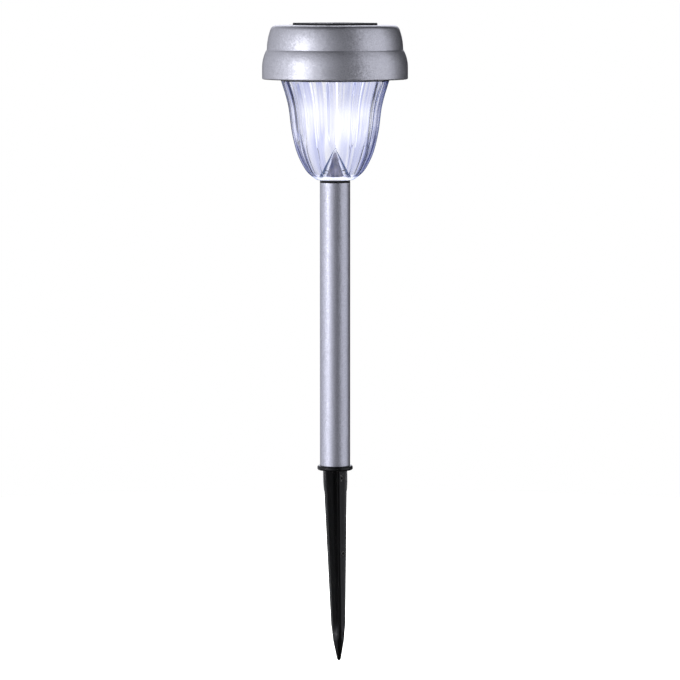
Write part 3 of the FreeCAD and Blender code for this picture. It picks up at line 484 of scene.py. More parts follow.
def panel_glass(name):
    """The panel's dark resin face, with the cells and their fine contact lines under it."""
    material, nodes, shader, where = new_material(name)
    turned = nodes.add("Mapping", {"Vector": where, "Rotation": (0.0, 0.0, -PANEL_ANGLE)})
    axes = nodes.add("SeparateXYZ", {"Vector": turned.outputs[0]})

    def lines(value, pitch, width):
        """Lines across the value, one for each pitch."""
        part = nodes.math("FRACT", nodes.math("DIVIDE", value, pitch))
        share = nodes.math("ABSOLUTE", nodes.math("SUBTRACT", part, 0.5))
        return nodes.math("GREATER_THAN", share, 0.5 - width / pitch / 2)

    across = axes.outputs["X"]
    along = axes.outputs["Y"]
    fingers = lines(along, 1.4 * MM, 0.12 * MM)
    gaps = lines(across, 8.75 * MM, 0.5 * MM)
    far = nodes.math("MAXIMUM", nodes.math("ABSOLUTE", across), nodes.math("ABSOLUTE", along))
    border = nodes.math("GREATER_THAN", far, 17.5 * MM)
    cloud = noise_of(nodes, where, 60.0)
    cells = nodes.mix(cloud, (0.004, 0.005, 0.014, 1.0), (0.008, 0.010, 0.026, 1.0))
    cells = nodes.mix(fingers, cells, (0.05, 0.05, 0.06, 1.0))
    cells = nodes.mix(gaps, cells, (0.07, 0.07, 0.075, 1.0))
    nodes.feed(shader.inputs["Base Color"], nodes.mix(border, cells, (0.004, 0.004, 0.005, 1.0)))
    nodes.feed(shader.inputs["Roughness"], nodes.math("MULTIPLY_ADD", cloud, 0.1, 0.1))
    shader.inputs["Specular IOR Level"].default_value = 0.25
    ripple = noise_of(nodes, where, 150.0, 2.0)
    nodes.feed(shader.inputs["Normal"], grain_bump(nodes, ripple, 0.02 * MM, 0.3))
    return material


def glowing(name, colour, strength):
    """Cloudy resin with light in it: the LED's own light, and on the lens foot a painted glow."""
    material, nodes, shader, where = new_material(name)
    cloud = noise_of(nodes, where, 500.0)
    tone = nodes.mix(cloud, (*(c * 0.94 for c in colour), 1.0), (*colour, 1.0))
    nodes.feed(shader.inputs["Base Color"], tone)
    nodes.feed(shader.inputs["Roughness"], nodes.math("MULTIPLY_ADD", cloud, 0.05, 0.1))
    nodes.feed(shader.inputs["Emission Color"], tone)
    shader.inputs["Emission Strength"].default_value = strength
    return material


MATERIALS = {
    "silver": silver_paint("silver_paint"),
    # The flat top's copy of the paint: smoother, and lighter as a painted highlight.
    "silver_top_painted_highlight": silver_paint("silver_top_painted_highlight", (0.7, 0.7, 0.72), gloss=0.34, tilt=0.04),
    "tube_silver": silver_paint("tube_paint", (0.575, 0.58, 0.64)),
    "black": moulded_plastic("black_plastic", (0.002, 0.002, 0.002), 0.17, 0.005 * MM, 0.1, 0.3),
    # Towards the valleys the black is less specular: painted shade in the corners between the blades.
    "stake_flank": stake_plastic("stake_flank", 0.38),
    "stake_slope_painted_shade": stake_plastic("stake_slope_painted_shade", 0.18),
    "stake_valley_painted_shade": stake_plastic("stake_valley_painted_shade", 0.05),
    # The rings of the ejector marks: a rougher black, and paler as a painted highlight on their rims.
    "mark_black_painted_highlight": moulded_plastic("mark_black_painted_highlight", (0.05, 0.05, 0.05), 0.5, 0.02 * MM, 0.3),
    "grey_black": moulded_plastic("base_plastic", (0.03, 0.03, 0.034), 0.5),
    "clear": clear_plastic("clear_plastic", 0.0),
    # Painted glow on the lens's inner wall, crease lines, foot lip and cone: emission that stands in for the
    # lamp's light.
    "clear_inside": clear_plastic("clear_inside", 0.15, False, 0.3),
    "clear_line": clear_plastic("clear_line", 0.5, True),
    "clear_cone": clear_plastic("clear_cone", 0.05, True, 0.0, 0.30, (0.004, 0.012, 0.05)),
    # Painted glow: the lens's foot and recess give out light though they are no lamp.
    "clear_foot": glowing("clear_foot", (0.85, 0.87, 0.95), 0.75),
    "clear_shade": inner_shade("clear_shade"),
    # Painted shadow: flat black put on the tube's top band, the lens's shoulder and a ring inside the cap's
    # rim, where lines of shade fall.
    "painted_shadow_line": moulded_plastic("painted_shadow_line", (0.002, 0.002, 0.003), 0.4, 0.01 * MM, 0.0, 0.2),
    "rubber": moulded_plastic("seal_rubber", (0.02, 0.02, 0.02), 0.7, 0.04 * MM, 0.1),
    "foam": moulded_plastic("foam_pad", (0.04, 0.04, 0.042), 0.9, 0.1 * MM, 0.1),
    "panel": panel_glass("panel_resin"),
    "silicon": moulded_plastic("silicon", (0.015, 0.02, 0.06), 0.25, 0.005 * MM, 0.0),
    "laminate": moulded_plastic("panel_laminate", (0.015, 0.018, 0.02), 0.5),
    "board": moulded_plastic("board_laminate", (0.02, 0.14, 0.05), 0.35),
    "steel": plain_metal("screw_steel", (0.62, 0.61, 0.6)),
    "nickel": plain_metal("contact_metal", (0.72, 0.69, 0.62), 0.22),
    "wrap": moulded_plastic("battery_wrap", (0.05, 0.32, 0.12), 0.25, 0.005 * MM, 0.1),
    "chip": moulded_plastic("chip_black", (0.02, 0.02, 0.02), 0.6),
    "ferrite": moulded_plastic("ferrite", (0.04, 0.04, 0.042), 0.6),
    "led": glowing("led_resin", (0.9, 0.93, 1.0), 2.5),
    "tin": plain_metal("tinned_wire", (0.75, 0.74, 0.72)),
    "knob": moulded_plastic("knob_plastic", (0.6, 0.6, 0.6), 0.45),
    "red_wire": moulded_plastic("wire_red", (0.5, 0.015, 0.01), 0.45),
    "black_wire": moulded_plastic("wire_black", (0.02, 0.02, 0.02), 0.45),
}


# ---------------------------------------------------------------- Spike

BLADE = (
    # depth below the flange, half width, half width of the solid core, how round the section is; all in mm
    (0.7, 7.875, 1.05, 0.0),
    (4.0, 7.875, 1.05, 0.0),
    (8.3, 7.86, 1.05, 0.0),
    (10.5, 7.72, 1.05, 0.0),
    (13.0, 7.54, 1.05, 0.0),
    (15.5, 7.40, 1.05, 0.0),
    (40.0, 6.62, 1.05, 0.0),
    (68.0, 5.72, 1.05, 0.0),
    (96.0, 4.83, 1.05, 0.0),
    (98.8, 4.73, 1.10, 0.0),
    (101.5, 4.42, 1.35, 0.02),
    (104.5, 4.08, 1.90, 0.10),
    (106.5, 3.84, 2.35, 0.35),
    (107.8, 3.68, 2.50, 0.80),
    (108.6, 3.59, 2.50, 1.0),
    (109.8, 3.43, 2.40, 1.0),
    (113.0, 2.82, 1.95, 1.0),
    (117.0, 2.08, 1.45, 1.0),
    (120.6, 1.42, 0.98, 1.0),
    (121.6, 1.10, 0.75, 1.0),
    (122.15, 0.72, 0.50, 1.0),
)
BLADE_HALF = 0.8 * MM
STAKE_FACES = ("stake_flank", "stake_slope_painted_shade", "stake_valley_painted_shade", "black")
MARK_PLACES = ((4.0 * MM, -6.0 * MM), (4.0 * MM, -54.0 * MM))


def along_flank(start, corner, end, t):
    """Down a blade's flank to the valley's root and out along the next blade, denser at the root."""
    if t < 0.5:
        share = 1 - (1 - 2 * t) ** 1.4
        low, high = start, corner
    else:
        share = (2 * t - 1) ** 1.4
        low, high = corner, end
    return (low[0] + (high[0] - low[0]) * share, low[1] + (high[1] - low[1]) * share)


def cross_ring(half_width, root, height, roundness=0.0):
    """A cross outline with round blade edges, which turns into a circle as roundness goes to 1."""
    per_edge = 8
    per_flank = 9
    bevel = min(0.85 * MM, half_width * 0.3)
    side = min(BLADE_HALF, half_width * 0.75)
    quarter_points = []
    for step in range(per_edge + 1):
        across = step / per_edge * 2 - 1
        sag = (1 - math.sqrt(max(0.0, 1 - abs(across) ** 2.6))) * bevel
        quarter_points.append((half_width - sag, side * across))
    root = max(root, side * 1.85)
    shoulder = (quarter_points[-1][0], side)
    for step in range(1, per_flank + 1):
        quarter_points.append(
            along_flank(shoulder, (root, root), (shoulder[1], shoulder[0]), step / (per_flank + 1))
        )
    points = []
    for quarter in range(4):
        angle = quarter * math.pi / 2 + SPIKE_TURN
        for x, y in quarter_points:
            length = math.hypot(x, y)
            x += (x / length * half_width - x) * roundness
            y += (y / length * half_width - y) * roundness
            points.append(Vector((
                x * math.cos(angle) - y * math.sin(angle) + max(0.0, -height) * LEAN,
                x * math.sin(angle) + y * math.cos(angle),
                height,
            )))
    return points


def pressed_marks(piece):
    """Two shallow round ejector marks in the front blade face."""
    cutters = []
    turned_x = Vector((math.cos(SPIKE_TURN), math.sin(SPIKE_TURN), 0))
    outwards = Vector((math.sin(SPIKE_TURN), -math.cos(SPIKE_TURN), 0))
    for x, z in MARK_PLACES:
        centre = turned_x * (x - z * LEAN) + outwards * (BLADE_HALF * 1.42 - 0.18 * MM)
        rings = [[centre + Vector((0, 0, z))]]
        for radius, reach in ((0.8, 0.0), (1.12, 0.0), (1.2, 0.1), (1.3, 0.2), (1.4, 0.9)):
            rings.append([
                centre + outwards * (reach * MM) + turned_x * (radius * MM * math.cos(a))
                + Vector((0, 0, z + radius * MM * math.sin(a)))
                for a in angles_around(40)
            ])
        cutter = bpy.data.objects.new("cutter", facing_out(mesh_from_rings("cutter", rings)))
        bpy.context.scene.collection.objects.link(cutter)
        cutters.append(cutter)
    for cutter in cutters:
        pressed = piece.modifiers.new("mark", "BOOLEAN")
        pressed.operation = "DIFFERENCE"
        pressed.solver = "EXACT"
        pressed.object = cutter
    bpy.context.view_layer.update()
    graph = bpy.context.evaluated_depsgraph_get()
    mesh = bpy.data.meshes.new_from_object(piece.evaluated_get(graph))
    piece.modifiers.clear()
    piece.data = mesh
    for cutter in cutters:
        bpy.data.objects.remove(cutter)
    # The ring round each mark takes the paler black: partly a rougher ejector face, partly a painted
    # highlight.
    mesh.materials.append(MATERIALS["mark_black_painted_highlight"])
    for polygon in mesh.polygons:
        for x, z in MARK_PLACES:
            reach = polygon.center - turned_x * (x - z * LEAN) - Vector((0, 0, z))
            apart = math.hypot(reach.dot(turned_x), reach.z)
            if polygon.area < 1.5 * MM * MM and 0.75 * MM < apart < 1.45 * MM and reach.dot(outwards) > 0:
                polygon.material_index = len(STAKE_FACES)
    mesh.set_sharp_from_angle(angle=math.radians(35))


def stake_face(centre):
    """The finish at a point: full gloss on the flanks, less and less specular towards the valleys as painted
    shade where the blades meet, glossy black from the flange up.
    """
    if centre.z > FLANGE_BOTTOM - 0.05 * MM:
        return "black"
    taper = (STAKE_WIDTH_HIGH - STAKE_WIDTH_LOW) / STAKE_LOW
    width = STAKE_WIDTH_HIGH - centre.z * taper
    aside = (centre.x + centre.z * LEAN) * math.cos(SPIKE_TURN) + centre.y * math.sin(SPIKE_TURN)
    share = abs(aside) / width
    if share < 0.2:
        return "stake_valley_painted_shade"
    return "stake_slope_painted_shade" if share < 0.32 else "stake_flank"


def spike_piece():
    """Cross-shaped blades that taper to a solid point, with the flange and the ribbed plug above."""
    rings = [[Vector((-TIP * LEAN, 0, TIP))]]
    for depth, half_width, root, roundness in reversed(BLADE):
        rings.append(cross_ring(half_width * MM, root * MM, -depth * MM, roundness))
    edge = 1.0 * MM
    plug = SPIGOT_RADIUS
    rib_foot = FLANGE_TOP + 1.8 * MM
    flange = rounded_profile([
        (8.2 * MM, FLANGE_BOTTOM, 0.0),
        (FLANGE_RADIUS, FLANGE_BOTTOM, edge),
        (FLANGE_RADIUS, FLANGE_TOP, edge),
        (plug, FLANGE_TOP, 0.0),
        (plug, rib_foot, 0.0),
    ], 7)
    rings += [cross_ring(p.x, BLADE_HALF, p.y, 1.0) for p in flange]
    ribs = (
        (rib_foot, plug), (PLUG_TOP - 0.8 * MM, plug), (PLUG_TOP - 0.25 * MM, plug - 0.55 * MM),
        (PLUG_TOP, plug - 0.8 * MM),
    )
    rings += [cross_ring(half_width, 1.05 * MM, z) for z, half_width in ribs]
    mesh = facing_out(mesh_from_rings("stake", rings))
    piece = new_object("stake", mesh, "spike", [MATERIALS[name] for name in STAKE_FACES])
    for polygon in mesh.polygons:
        polygon.material_index = STAKE_FACES.index(stake_face(polygon.center))
    pressed_marks(piece)
    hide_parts("spike")


def tube_piece():
    """The thin-wall tube, with a painted shadow line: a short band at its top is black where the lens sits on
    it.
    """
    profile = rounded_profile([
        (TUBE_INSIDE, FLANGE_TOP + 1 * MM, 0.0),
        (TUBE_INSIDE, FLANGE_TOP, 0.15 * MM),
        (TUBE_RADIUS, FLANGE_TOP, 0.25 * MM),
        (TUBE_RADIUS, TUBE_TOP - TUBE_SHADOW_LINE, 0.0),
        (TUBE_RADIUS, TUBE_TOP, 0.25 * MM),
        (TUBE_INSIDE, TUBE_TOP, 0.15 * MM),
        (TUBE_INSIDE, TUBE_TOP - 1 * MM, 0.0),
    ], 4)
    mesh = lathe("tube_shell", profile, 128, closed=True)
    materials = [MATERIALS["tube_silver"], MATERIALS["painted_shadow_line"]]
    piece = new_object("tube_shell", mesh, "tube", materials)
    # The top band takes the black: painted shade, not the tube's own colour.
    for polygon in mesh.polygons:
        polygon.material_index = int(polygon.center.z > TUBE_TOP - TUBE_SHADOW_LINE)
    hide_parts("tube")


# ---------------------------------------------------------------- Lens

BELL = (
    # height above the foot, radius at the crowns, sink of the creases, all in mm
    (0.25, 11.75, 0.0),
    (1.1, 13.0, 0.0),
    (4.9, 17.6, 0.35),
    (10.8, 21.5, 0.8),
    (18.9, 24.9, 1.2),
    (31.1, 27.7, 1.4),
    (44.3, 29.4, 1.4),
    (52.4, 31.3, 1.4),
    (59.5, 33.4, 0.9),
    (63.6, 34.3, 0.2),
    (69.6, 34.4, 0.0),
)
FLUTES = 12
STEPS_PER_FLUTE = 40
CREASE_ANGLE = math.radians(-88.0)
LENS_FACES = (
    "clear", "clear_inside", "clear_line", "clear_cone", "clear_foot", "clear_shade", "painted_shadow_line",
)


def flute_angles():
    """Angles round the bell, with a crease at each end of a flute, and how deep each one lies."""
    around = []
    for flute in range(FLUTES):
        for step in range(STEPS_PER_FLUTE):
            t = step / STEPS_PER_FLUTE * 2 - 1
            u = math.copysign(abs(t) ** 0.75, t)
            angle = CREASE_ANGLE + (flute + (u + 1) / 2) * TURN / FLUTES
            around.append((angle, u * u))
    return around


def rib_height(angle, height):
    """The upright ribs on the bell's inside. They fade out above the cone and towards the neck."""
    above_cone = min(1.0, max(0.0, (height - 20 * MM) / (14 * MM)))
    below_neck = min(1.0, max(0.0, (66 * MM - height) / (6 * MM)))
    waves = (
        0.13 * math.sin(24 * angle + 0.7) + 0.07 * math.sin(36 * angle + 2.1)
        + 0.02 * math.sin(59 * angle + 4.0) + 0.09 * math.sin(17 * angle + 1.3)
    )
    return waves * (above_cone * below_neck) * MM


def underside_face(height, radius):
    """The finish on the hollow under the cone, the spigot and the shoulder: painted shade with a painted glow
    in the hollow, a painted glow on the recess and the foot, and a painted shadow line on the shoulder.
    """
    in_recess = CONE_HOLLOW + 0.2 * MM < radius < CONE_RECESS + 0.2 * MM
    if in_recess and height > LENS_FOOT + 0.1 * MM:
        return "clear_foot"
    if radius < 8 * MM and height < LENS_FOOT:
        return "clear"
    if height > LENS_FLOOR:
        return "clear_shade"
    if height > LENS_FOOT - 0.05 * MM:
        return "clear_foot"
    return "painted_shadow_line" if height > TUBE_TOP - 0.6 * MM else "clear"


def inner_wall_face(height, at_crease):
    """The finish on the bell's inner wall: a painted shadow ring just inside the cap's rim, painted glow
    lines at the creases above the cone, and a fainter painted glow elsewhere.
    """
    if CAP_BOTTOM - 0.8 * MM < height < CAP_BOTTOM - 0.1 * MM:
        return "painted_shadow_line"
    return "clear_line" if at_crease and height > CONE_TOP else "clear_inside"


def lens_piece():
    """The bell, its cone and its spigot as one surface: down the bore, up outside and down inside."""
    around = flute_angles()
    angles = [a for a, _ in around]

    def fluted(radius, sink, height):
        """A ring that is sunk at the creases."""
        return [
            Vector(((radius - sink * g) * math.cos(a), (radius - sink * g) * math.sin(a), height))
            for a, g in around
        ]

    outside = smooth_curve([(z * MM, r * MM, s * MM) for z, r, s in BELL], 5)
    bore = SPIGOT_RADIUS - 1.3 * MM
    spigot_foot = TUBE_TOP - 12 * MM
    below = rounded_profile([
        (0.0, CONE_TOP - 3.0 * MM, 0.0),
        (0.3 * MM, CONE_TOP - 3.2 * MM, 0.2 * MM),
        (CONE_HOLLOW, LENS_FLOOR + 0.3 * MM, 0.4 * MM),
        (CONE_RECESS, LENS_FLOOR - 0.6 * MM, 0.2 * MM),
        (CONE_RECESS, LENS_FOOT + 0.3 * MM, 0.1 * MM),
        (bore, LENS_FOOT + 0.15 * MM, 0.05 * MM),
        (bore, spigot_foot, 0.2 * MM),
        (SPIGOT_RADIUS, spigot_foot, 0.4 * MM),
        (SPIGOT_RADIUS, TUBE_TOP, 0.05 * MM),
        (SHOULDER_RADIUS, TUBE_TOP, 0.1 * MM),
        (SHOULDER_RADIUS, LENS_FOOT, 0.15 * MM),
        (11.2 * MM, LENS_FOOT, 0.0),
    ], 4)
    rings = [ring_at(p.x, p.y, angles) for p in below]
    outside_start = len(rings) - 1
    rings += [fluted(r, s, LENS_FOOT + z) for z, r, s in outside[:-1]]
    rim = rounded_profile([
        (NECK_RADIUS, LENS_TOP - 2 * MM, 0.0),
        (NECK_RADIUS, LENS_TOP, 0.4 * MM),
        (NECK_RADIUS - LENS_WALL, LENS_TOP, 0.4 * MM),
        (NECK_RADIUS - LENS_WALL, LENS_TOP - 2 * MM, 0.0),
    ], 4)
    rings += [ring_at(p.x, p.y, angles) for p in rim[1:-1]]
    wall_start = len(rings) - 1
    inside = [(z, r, s) for z, r, s in outside if 3.2 * MM < z < 67 * MM]
    for z, r, s in reversed(inside):
        rings.append([
            v + Vector((math.cos(a), math.sin(a), 0)) * rib_height(a, z)
            for v, a in zip(fluted(r - LENS_WALL, s, LENS_FOOT + z), angles)
        ])
    hollow = rounded_profile([
        (inside[0][1] - LENS_WALL, LENS_FOOT + inside[0][0], 0.0),
        (11.4 * MM, LENS_FLOOR, 0.8 * MM),
        (CONE_RADIUS, LENS_FLOOR, 0.3 * MM),
        (0.55 * MM, CONE_TOP - 0.4 * MM, 0.3 * MM),
        (0.0, CONE_TOP, 0.0),
    ], 4)
    floor_start = len(rings) - 1
    rings += [ring_at(p.x, p.y, angles) for p in hollow[1:]]
    mesh = facing_out(mesh_from_rings("lens_bell", rings))
    materials = [MATERIALS[name] for name in LENS_FACES]
    piece = new_object("lens_bell", mesh, "lens", materials, 50.0)
    crease_steps = (0, 1, STEPS_PER_FLUTE - 2, STEPS_PER_FLUTE - 1)
    for index, polygon in enumerate(mesh.polygons):
        band, column = divmod(index, len(angles))
        height = polygon.center.z
        radius = polygon.center.xy.length
        if band < outside_start:
            face = underside_face(height, radius)
        elif band < wall_start:
            # The outside of the foot's lip gets a painted glow.
            face = "clear_line" if height < LENS_FOOT + 2.0 * MM else "clear"
        elif band < floor_start:
            face = inner_wall_face(height, column % STEPS_PER_FLUTE in crease_steps)
        else:
            on_cone = height > LENS_FLOOR + 0.3 * MM and radius < CONE_RADIUS
            # The cone gets a faint painted glow and a painted dark edge.
            face = "clear_cone" if on_cone else "clear"
        polygon.material_index = LENS_FACES.index(face)
    lugs(piece)
    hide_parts("lens")


def lugs(piece):
    """The three bayonet lugs, joined to the bell's neck."""
    work = bmesh.new()
    work.from_mesh(piece.data)
    bottom = LENS_TOP - 3.5 * MM
    top = bottom + 1.8 * MM
    root = NECK_RADIUS - 0.5 * MM
    reach = 35.9 * MM
    outline = rounded_profile([
        (root, bottom, 0.0), (reach, bottom, 0.35 * MM), (reach, top, 0.35 * MM), (root, top, 0.0),
    ], 4)
    for direction in (90, 210, 330):
        steps = [math.radians(direction - 10 + k) for k in range(21)]
        sections = []
        for angle in steps:
            sections.append([
                work.verts.new((p.x * math.cos(angle), p.x * math.sin(angle), p.y)) for p in outline
            ])
        for low, high in zip(sections, sections[1:]):
            for i in range(len(outline)):
                j = (i + 1) % len(outline)
                work.faces.new((low[i], low[j], high[j], high[i]))
        work.faces.new(sections[0])
        work.faces.new(list(reversed(sections[-1])))
    bmesh.ops.recalc_face_normals(work, faces=[f for f in work.faces if not f.smooth])
    work.to_mesh(piece.data)
    work.free()


# ---------------------------------------------------------------- Cap and panel

def square_ring(half, corner, height, angles):
    """Points at the given angles on a square with round corners, turned to the panel's angle."""
    points = []
    for angle in angles:
        local = angle - PANEL_ANGLE
        x = math.cos(local)
        y = math.sin(local)
        scale = half / max(abs(x), abs(y))
        px = abs(x * scale)
        py = abs(y * scale)
        inner = half - corner
        if px > inner and py > inner:
            along = Vector((inner, inner))
            direction = Vector((abs(x), abs(y)))
            b = direction.dot(along)
            c = along.length_squared - corner * corner
            distance = b + math.sqrt(max(0.0, b * b - c))
            px = direction.x * distance
            py = direction.y * distance
        px = math.copysign(px, x)
        py = math.copysign(py, y)
        points.append(Vector((
            px * math.cos(PANEL_ANGLE) - py * math.sin(PANEL_ANGLE),
            px * math.sin(PANEL_ANGLE) + py * math.cos(PANEL_ANGLE),
            height,
        )))
    return points


def cap_angles():
    """Even angles round the cap, with more at the four corners of the panel's square."""
    angles = set(angles_around(180))
    for quarter in range(4):
        corner = PANEL_ANGLE + math.pi / 4 + quarter * math.pi / 2
        for step in range(-6, 7):
            angles.add((corner + math.radians(step * 0.5)) % TURN)
    return sorted(angles)


def cap_piece():
    """The two-tier cap: a bulging lower tier, a crease, and an upper tier that leans in to a flat top."""
    angles = cap_angles()
    step_bottom = CAP_TOP - 15.8 * MM
    step_top = CAP_TOP - 15.2 * MM
    corner_foot = CAP_TOP - 2.4 * MM
    ledge = CAP_TOP - 22.9 * MM
    skirt_inside = 43.6 * MM
    upper_bulge = 36.0 * MM
    profile = rounded_profile([
        (skirt_inside, ledge, 0.0),
        (skirt_inside, CAP_BOTTOM, 0.3 * MM),
        (CAP_RADIUS, CAP_BOTTOM, 1.2 * MM),
        (CAP_RADIUS, CAP_BOTTOM + 4 * MM, 0.0),
    ], 7)
    profile += arc_profile(CAP_RADIUS, CAP_TOP - 26.3 * MM, 23.3 * MM, step_bottom - 0.25 * MM, 10)
    profile += [
        Vector((42.93 * MM, step_bottom + 0.05 * MM)),
        Vector((42.62 * MM, step_bottom + 0.35 * MM)),
        Vector((42.53 * MM, step_top + 0.2 * MM)),
    ]
    upper = arc_profile(42.5 * MM, step_top, upper_bulge, corner_foot, 14)[2:]
    profile += upper
    corner = 3.72 * MM
    start = math.asin((corner_foot - step_top) / upper_bulge)
    centre = Vector((upper[-1].x - corner * math.cos(start), CAP_TOP - corner))
    for step in range(1, 9):
        a = start + (math.pi / 2 - start) * step / 8
        profile.append(centre + Vector((math.cos(a), math.sin(a))) * corner)
    rings = [ring_at(p.x, p.y, angles) for p in profile]
    seat = PANEL_HALF + 0.3 * MM
    rings.append(ring_at(profile[-1].x - 0.3 * MM, CAP_TOP, angles))
    rings.append(ring_at(30 * MM, CAP_TOP, angles))
    rings.append(square_ring(seat + 0.5 * MM, 1.0 * MM, CAP_TOP, angles))
    rings.append(square_ring(seat + 0.25 * MM, 0.9 * MM, CAP_TOP, angles))
    rings.append(square_ring(seat + 0.06 * MM, 0.75 * MM, CAP_TOP - 0.07 * MM, angles))
    rings.append(square_ring(seat, 0.7 * MM, CAP_TOP - 0.25 * MM, angles))
    rings.append(square_ring(seat, 0.7 * MM, PANEL_BOTTOM, angles))
    rings.append(ring_at(2.5 * MM, PANEL_BOTTOM, angles))
    rings.append(ring_at(2.5 * MM, corner_foot, angles))
    inside = ((36.5, corner_foot), (39.2, CAP_TOP - 5.8 * MM), (40.9, step_bottom), (42.0, ledge))
    rings += [ring_at(r * MM, z, angles) for r, z in inside]
    mesh = facing_out(mesh_from_rings("cap_shell", rings, False, False, True))
    materials = [MATERIALS["silver"], MATERIALS["silver_top_painted_highlight"]]
    piece = new_object("cap_shell", mesh, "head", materials, 40.0)
    # The flat top takes the lighter copy of the paint: a painted highlight.
    for polygon in mesh.polygons:
        if polygon.normal.z > 0.995 and polygon.center.z > CAP_TOP - 0.1 * MM:
            polygon.material_index = 1
    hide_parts("top_cap")


def arc_profile(radius, z_start, bulge, z_end, steps):
    """An arc that leaves the vertical at (radius, z_start) and leans in as it rises."""
    sweep = math.asin((z_end - z_start) / bulge)
    points = []
    for k in range(steps + 1):
        a = sweep * k / steps
        points.append(Vector((radius - bulge * (1 - math.cos(a)), z_start + bulge * math.sin(a))))
    return points


def panel_pieces():
    """The cover with its eased edge, over the backing board."""
    angles = cap_angles()
    bottom = top_of("panel_board")
    edge = 0.25 * MM
    shape = [
        (PANEL_HALF, 0.6 * MM, bottom), (PANEL_HALF, 0.6 * MM, PANEL_TOP - edge),
        (PANEL_HALF - edge * 0.3, 0.5 * MM, PANEL_TOP - edge * 0.3), (PANEL_HALF - edge, 0.4 * MM, PANEL_TOP),
        (PANEL_HALF - edge - 0.2 * MM, 0.4 * MM, PANEL_TOP), (PANEL_HALF * 0.6, 0.4 * MM, PANEL_TOP),
    ]
    rings = [square_ring(h, c, z, angles) for h, c, z in shape]
    rings.append([Vector((0, 0, PANEL_TOP))])
    mesh = facing_out(mesh_from_rings("panel_face", rings))
    piece = new_object("panel_face", mesh, "head", [MATERIALS["panel"]], 40.0)
    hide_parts("panel_cover")


# ---------------------------------------------------------------- CAD nodes that stay, with better finishes

CARRIED = {
    "panel_pad": "foam",
    "panel_board": "laminate",
    "solar_cells": "silicon",
    "base_plate": "grey_black",
    "housing_seal": "rubber",
    "lens_seal": "rubber",
    "housing_screws": "steel",
    "battery_cell": "wrap",
    "battery_plate": "nickel",
    "battery_spring": "nickel",
    "battery_door": "grey_black",
    "door_screw": "steel",
    "circuit_board": "board",
    "board_screws": "steel",
    "driver_chip": "chip",
    "inductor": "ferrite",
    "led": "led",
    "led_leads": "tin",
    "switch_case": "tin",
    "switch_slider": "knob",
    "panel_wire_red": "red_wire",
    "panel_wire_black": "black_wire",
    "battery_wire_red": "red_wire",
    "battery_wire_black": "black_wire",
}


def finish_carried():
    """Gives the CAD nodes that stay their finishes."""
    for node, material in CARRIED.items():
        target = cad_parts[node]
        for slot in target.material_slots:
            slot.material = MATERIALS[material]


# ---------------------------------------------------------------- Stage, lights and camera

def floor_disc():
    """The plain pale floor just under the spike's tip. The lens and the gloss don't see it."""
    mesh = lathe("floor", [(0.0, TIP - 0.5 * MM), (0.8, TIP - 0.5 * MM)], 96)
    floor = bpy.data.objects.new("floor", mesh)
    bpy.context.scene.collection.objects.link(floor)
    material, nodes, shader, where = new_material("floor")
    shader.inputs["Base Color"].default_value = (0.9, 0.9, 0.9, 1.0)
    shader.inputs["Roughness"].default_value = 0.9
    shader.inputs["Emission Color"].default_value = (1, 1, 1, 1)
    shader.inputs["Emission Strength"].default_value = 0.6
    mesh.materials.append(material)
    floor.visible_glossy = False
    floor.visible_transmission = False


def area_light(name, azimuth, elevation, distance, width, height, power, colour):
    """A softbox. Azimuth 0 is on the camera's side, positive to its right."""
    a = math.radians(azimuth)
    e = math.radians(elevation)
    target = Vector((0, 0, 0.12))
    place = target + Vector((math.sin(a) * math.cos(e), -math.cos(a) * math.cos(e), math.sin(e))) * distance
    data = bpy.data.lights.new(name, "AREA")
    data.shape = "RECTANGLE"
    data.size = width
    data.size_y = height
    data.energy = power
    data.color = colour
    light = bpy.data.objects.new(name, data)
    light.location = place
    light.rotation_euler = (target - place).to_track_quat("-Z", "Y").to_euler()
    light.visible_camera = False
    light.visible_transmission = False
    bpy.context.scene.collection.objects.link(light)


# Brightness of the studio round the light, by azimuth in degrees: 0 in front, positive to the right.
ROOM = [
    (-180, 0.02), (-166, 0.06), (-152, 0.50), (-126, 0.58), (-94, 0.64), (-60, 0.62), (-37, 0.52),
    (-18, 0.40), (0, 0.25), (18, 0.17), (33, 0.19), (40, 0.30), (47, 0.74), (57, 0.80), (94, 0.84),
    (101, 0.70), (110, 0.30), (126, 0.12), (152, 0.02), (180, 0.02),
]
ROOM_HEIGHT = [
    (-90, 0.02), (-50, 0.02), (-30, 0.15), (-15, 0.85), (-8, 1.0), (24, 1.0), (40, 0.68), (55, 0.40),
    (75, 0.18), (90, 0.1),
]
# The soft key to the left.
KEY = [
    (-125, 0.0), (-100, 0.18), (-81, 0.52), (-68, 0.78), (-57, 0.80), (-47, 0.78), (-37, 0.68),
    (-28, 0.40), (-18, 0.22), (-9, 0.08), (2, 0.0),
]
KEY_HEIGHT = [(-60, 0.0), (-30, 0.35), (-12, 1.0), (14, 1.0), (30, 0.42), (50, 0.05), (75, 0.0)]
# A bright strip low behind the light, which the flat top reflects.
STRIP = [(-180, 1.7), (-170, 1.5), (-160, 0.0), (160, 0.0), (170, 1.5), (180, 1.7)]
STRIP_HEIGHT = [(3, 0.0), (8, 1.0), (32, 1.0), (46, 0.0)]
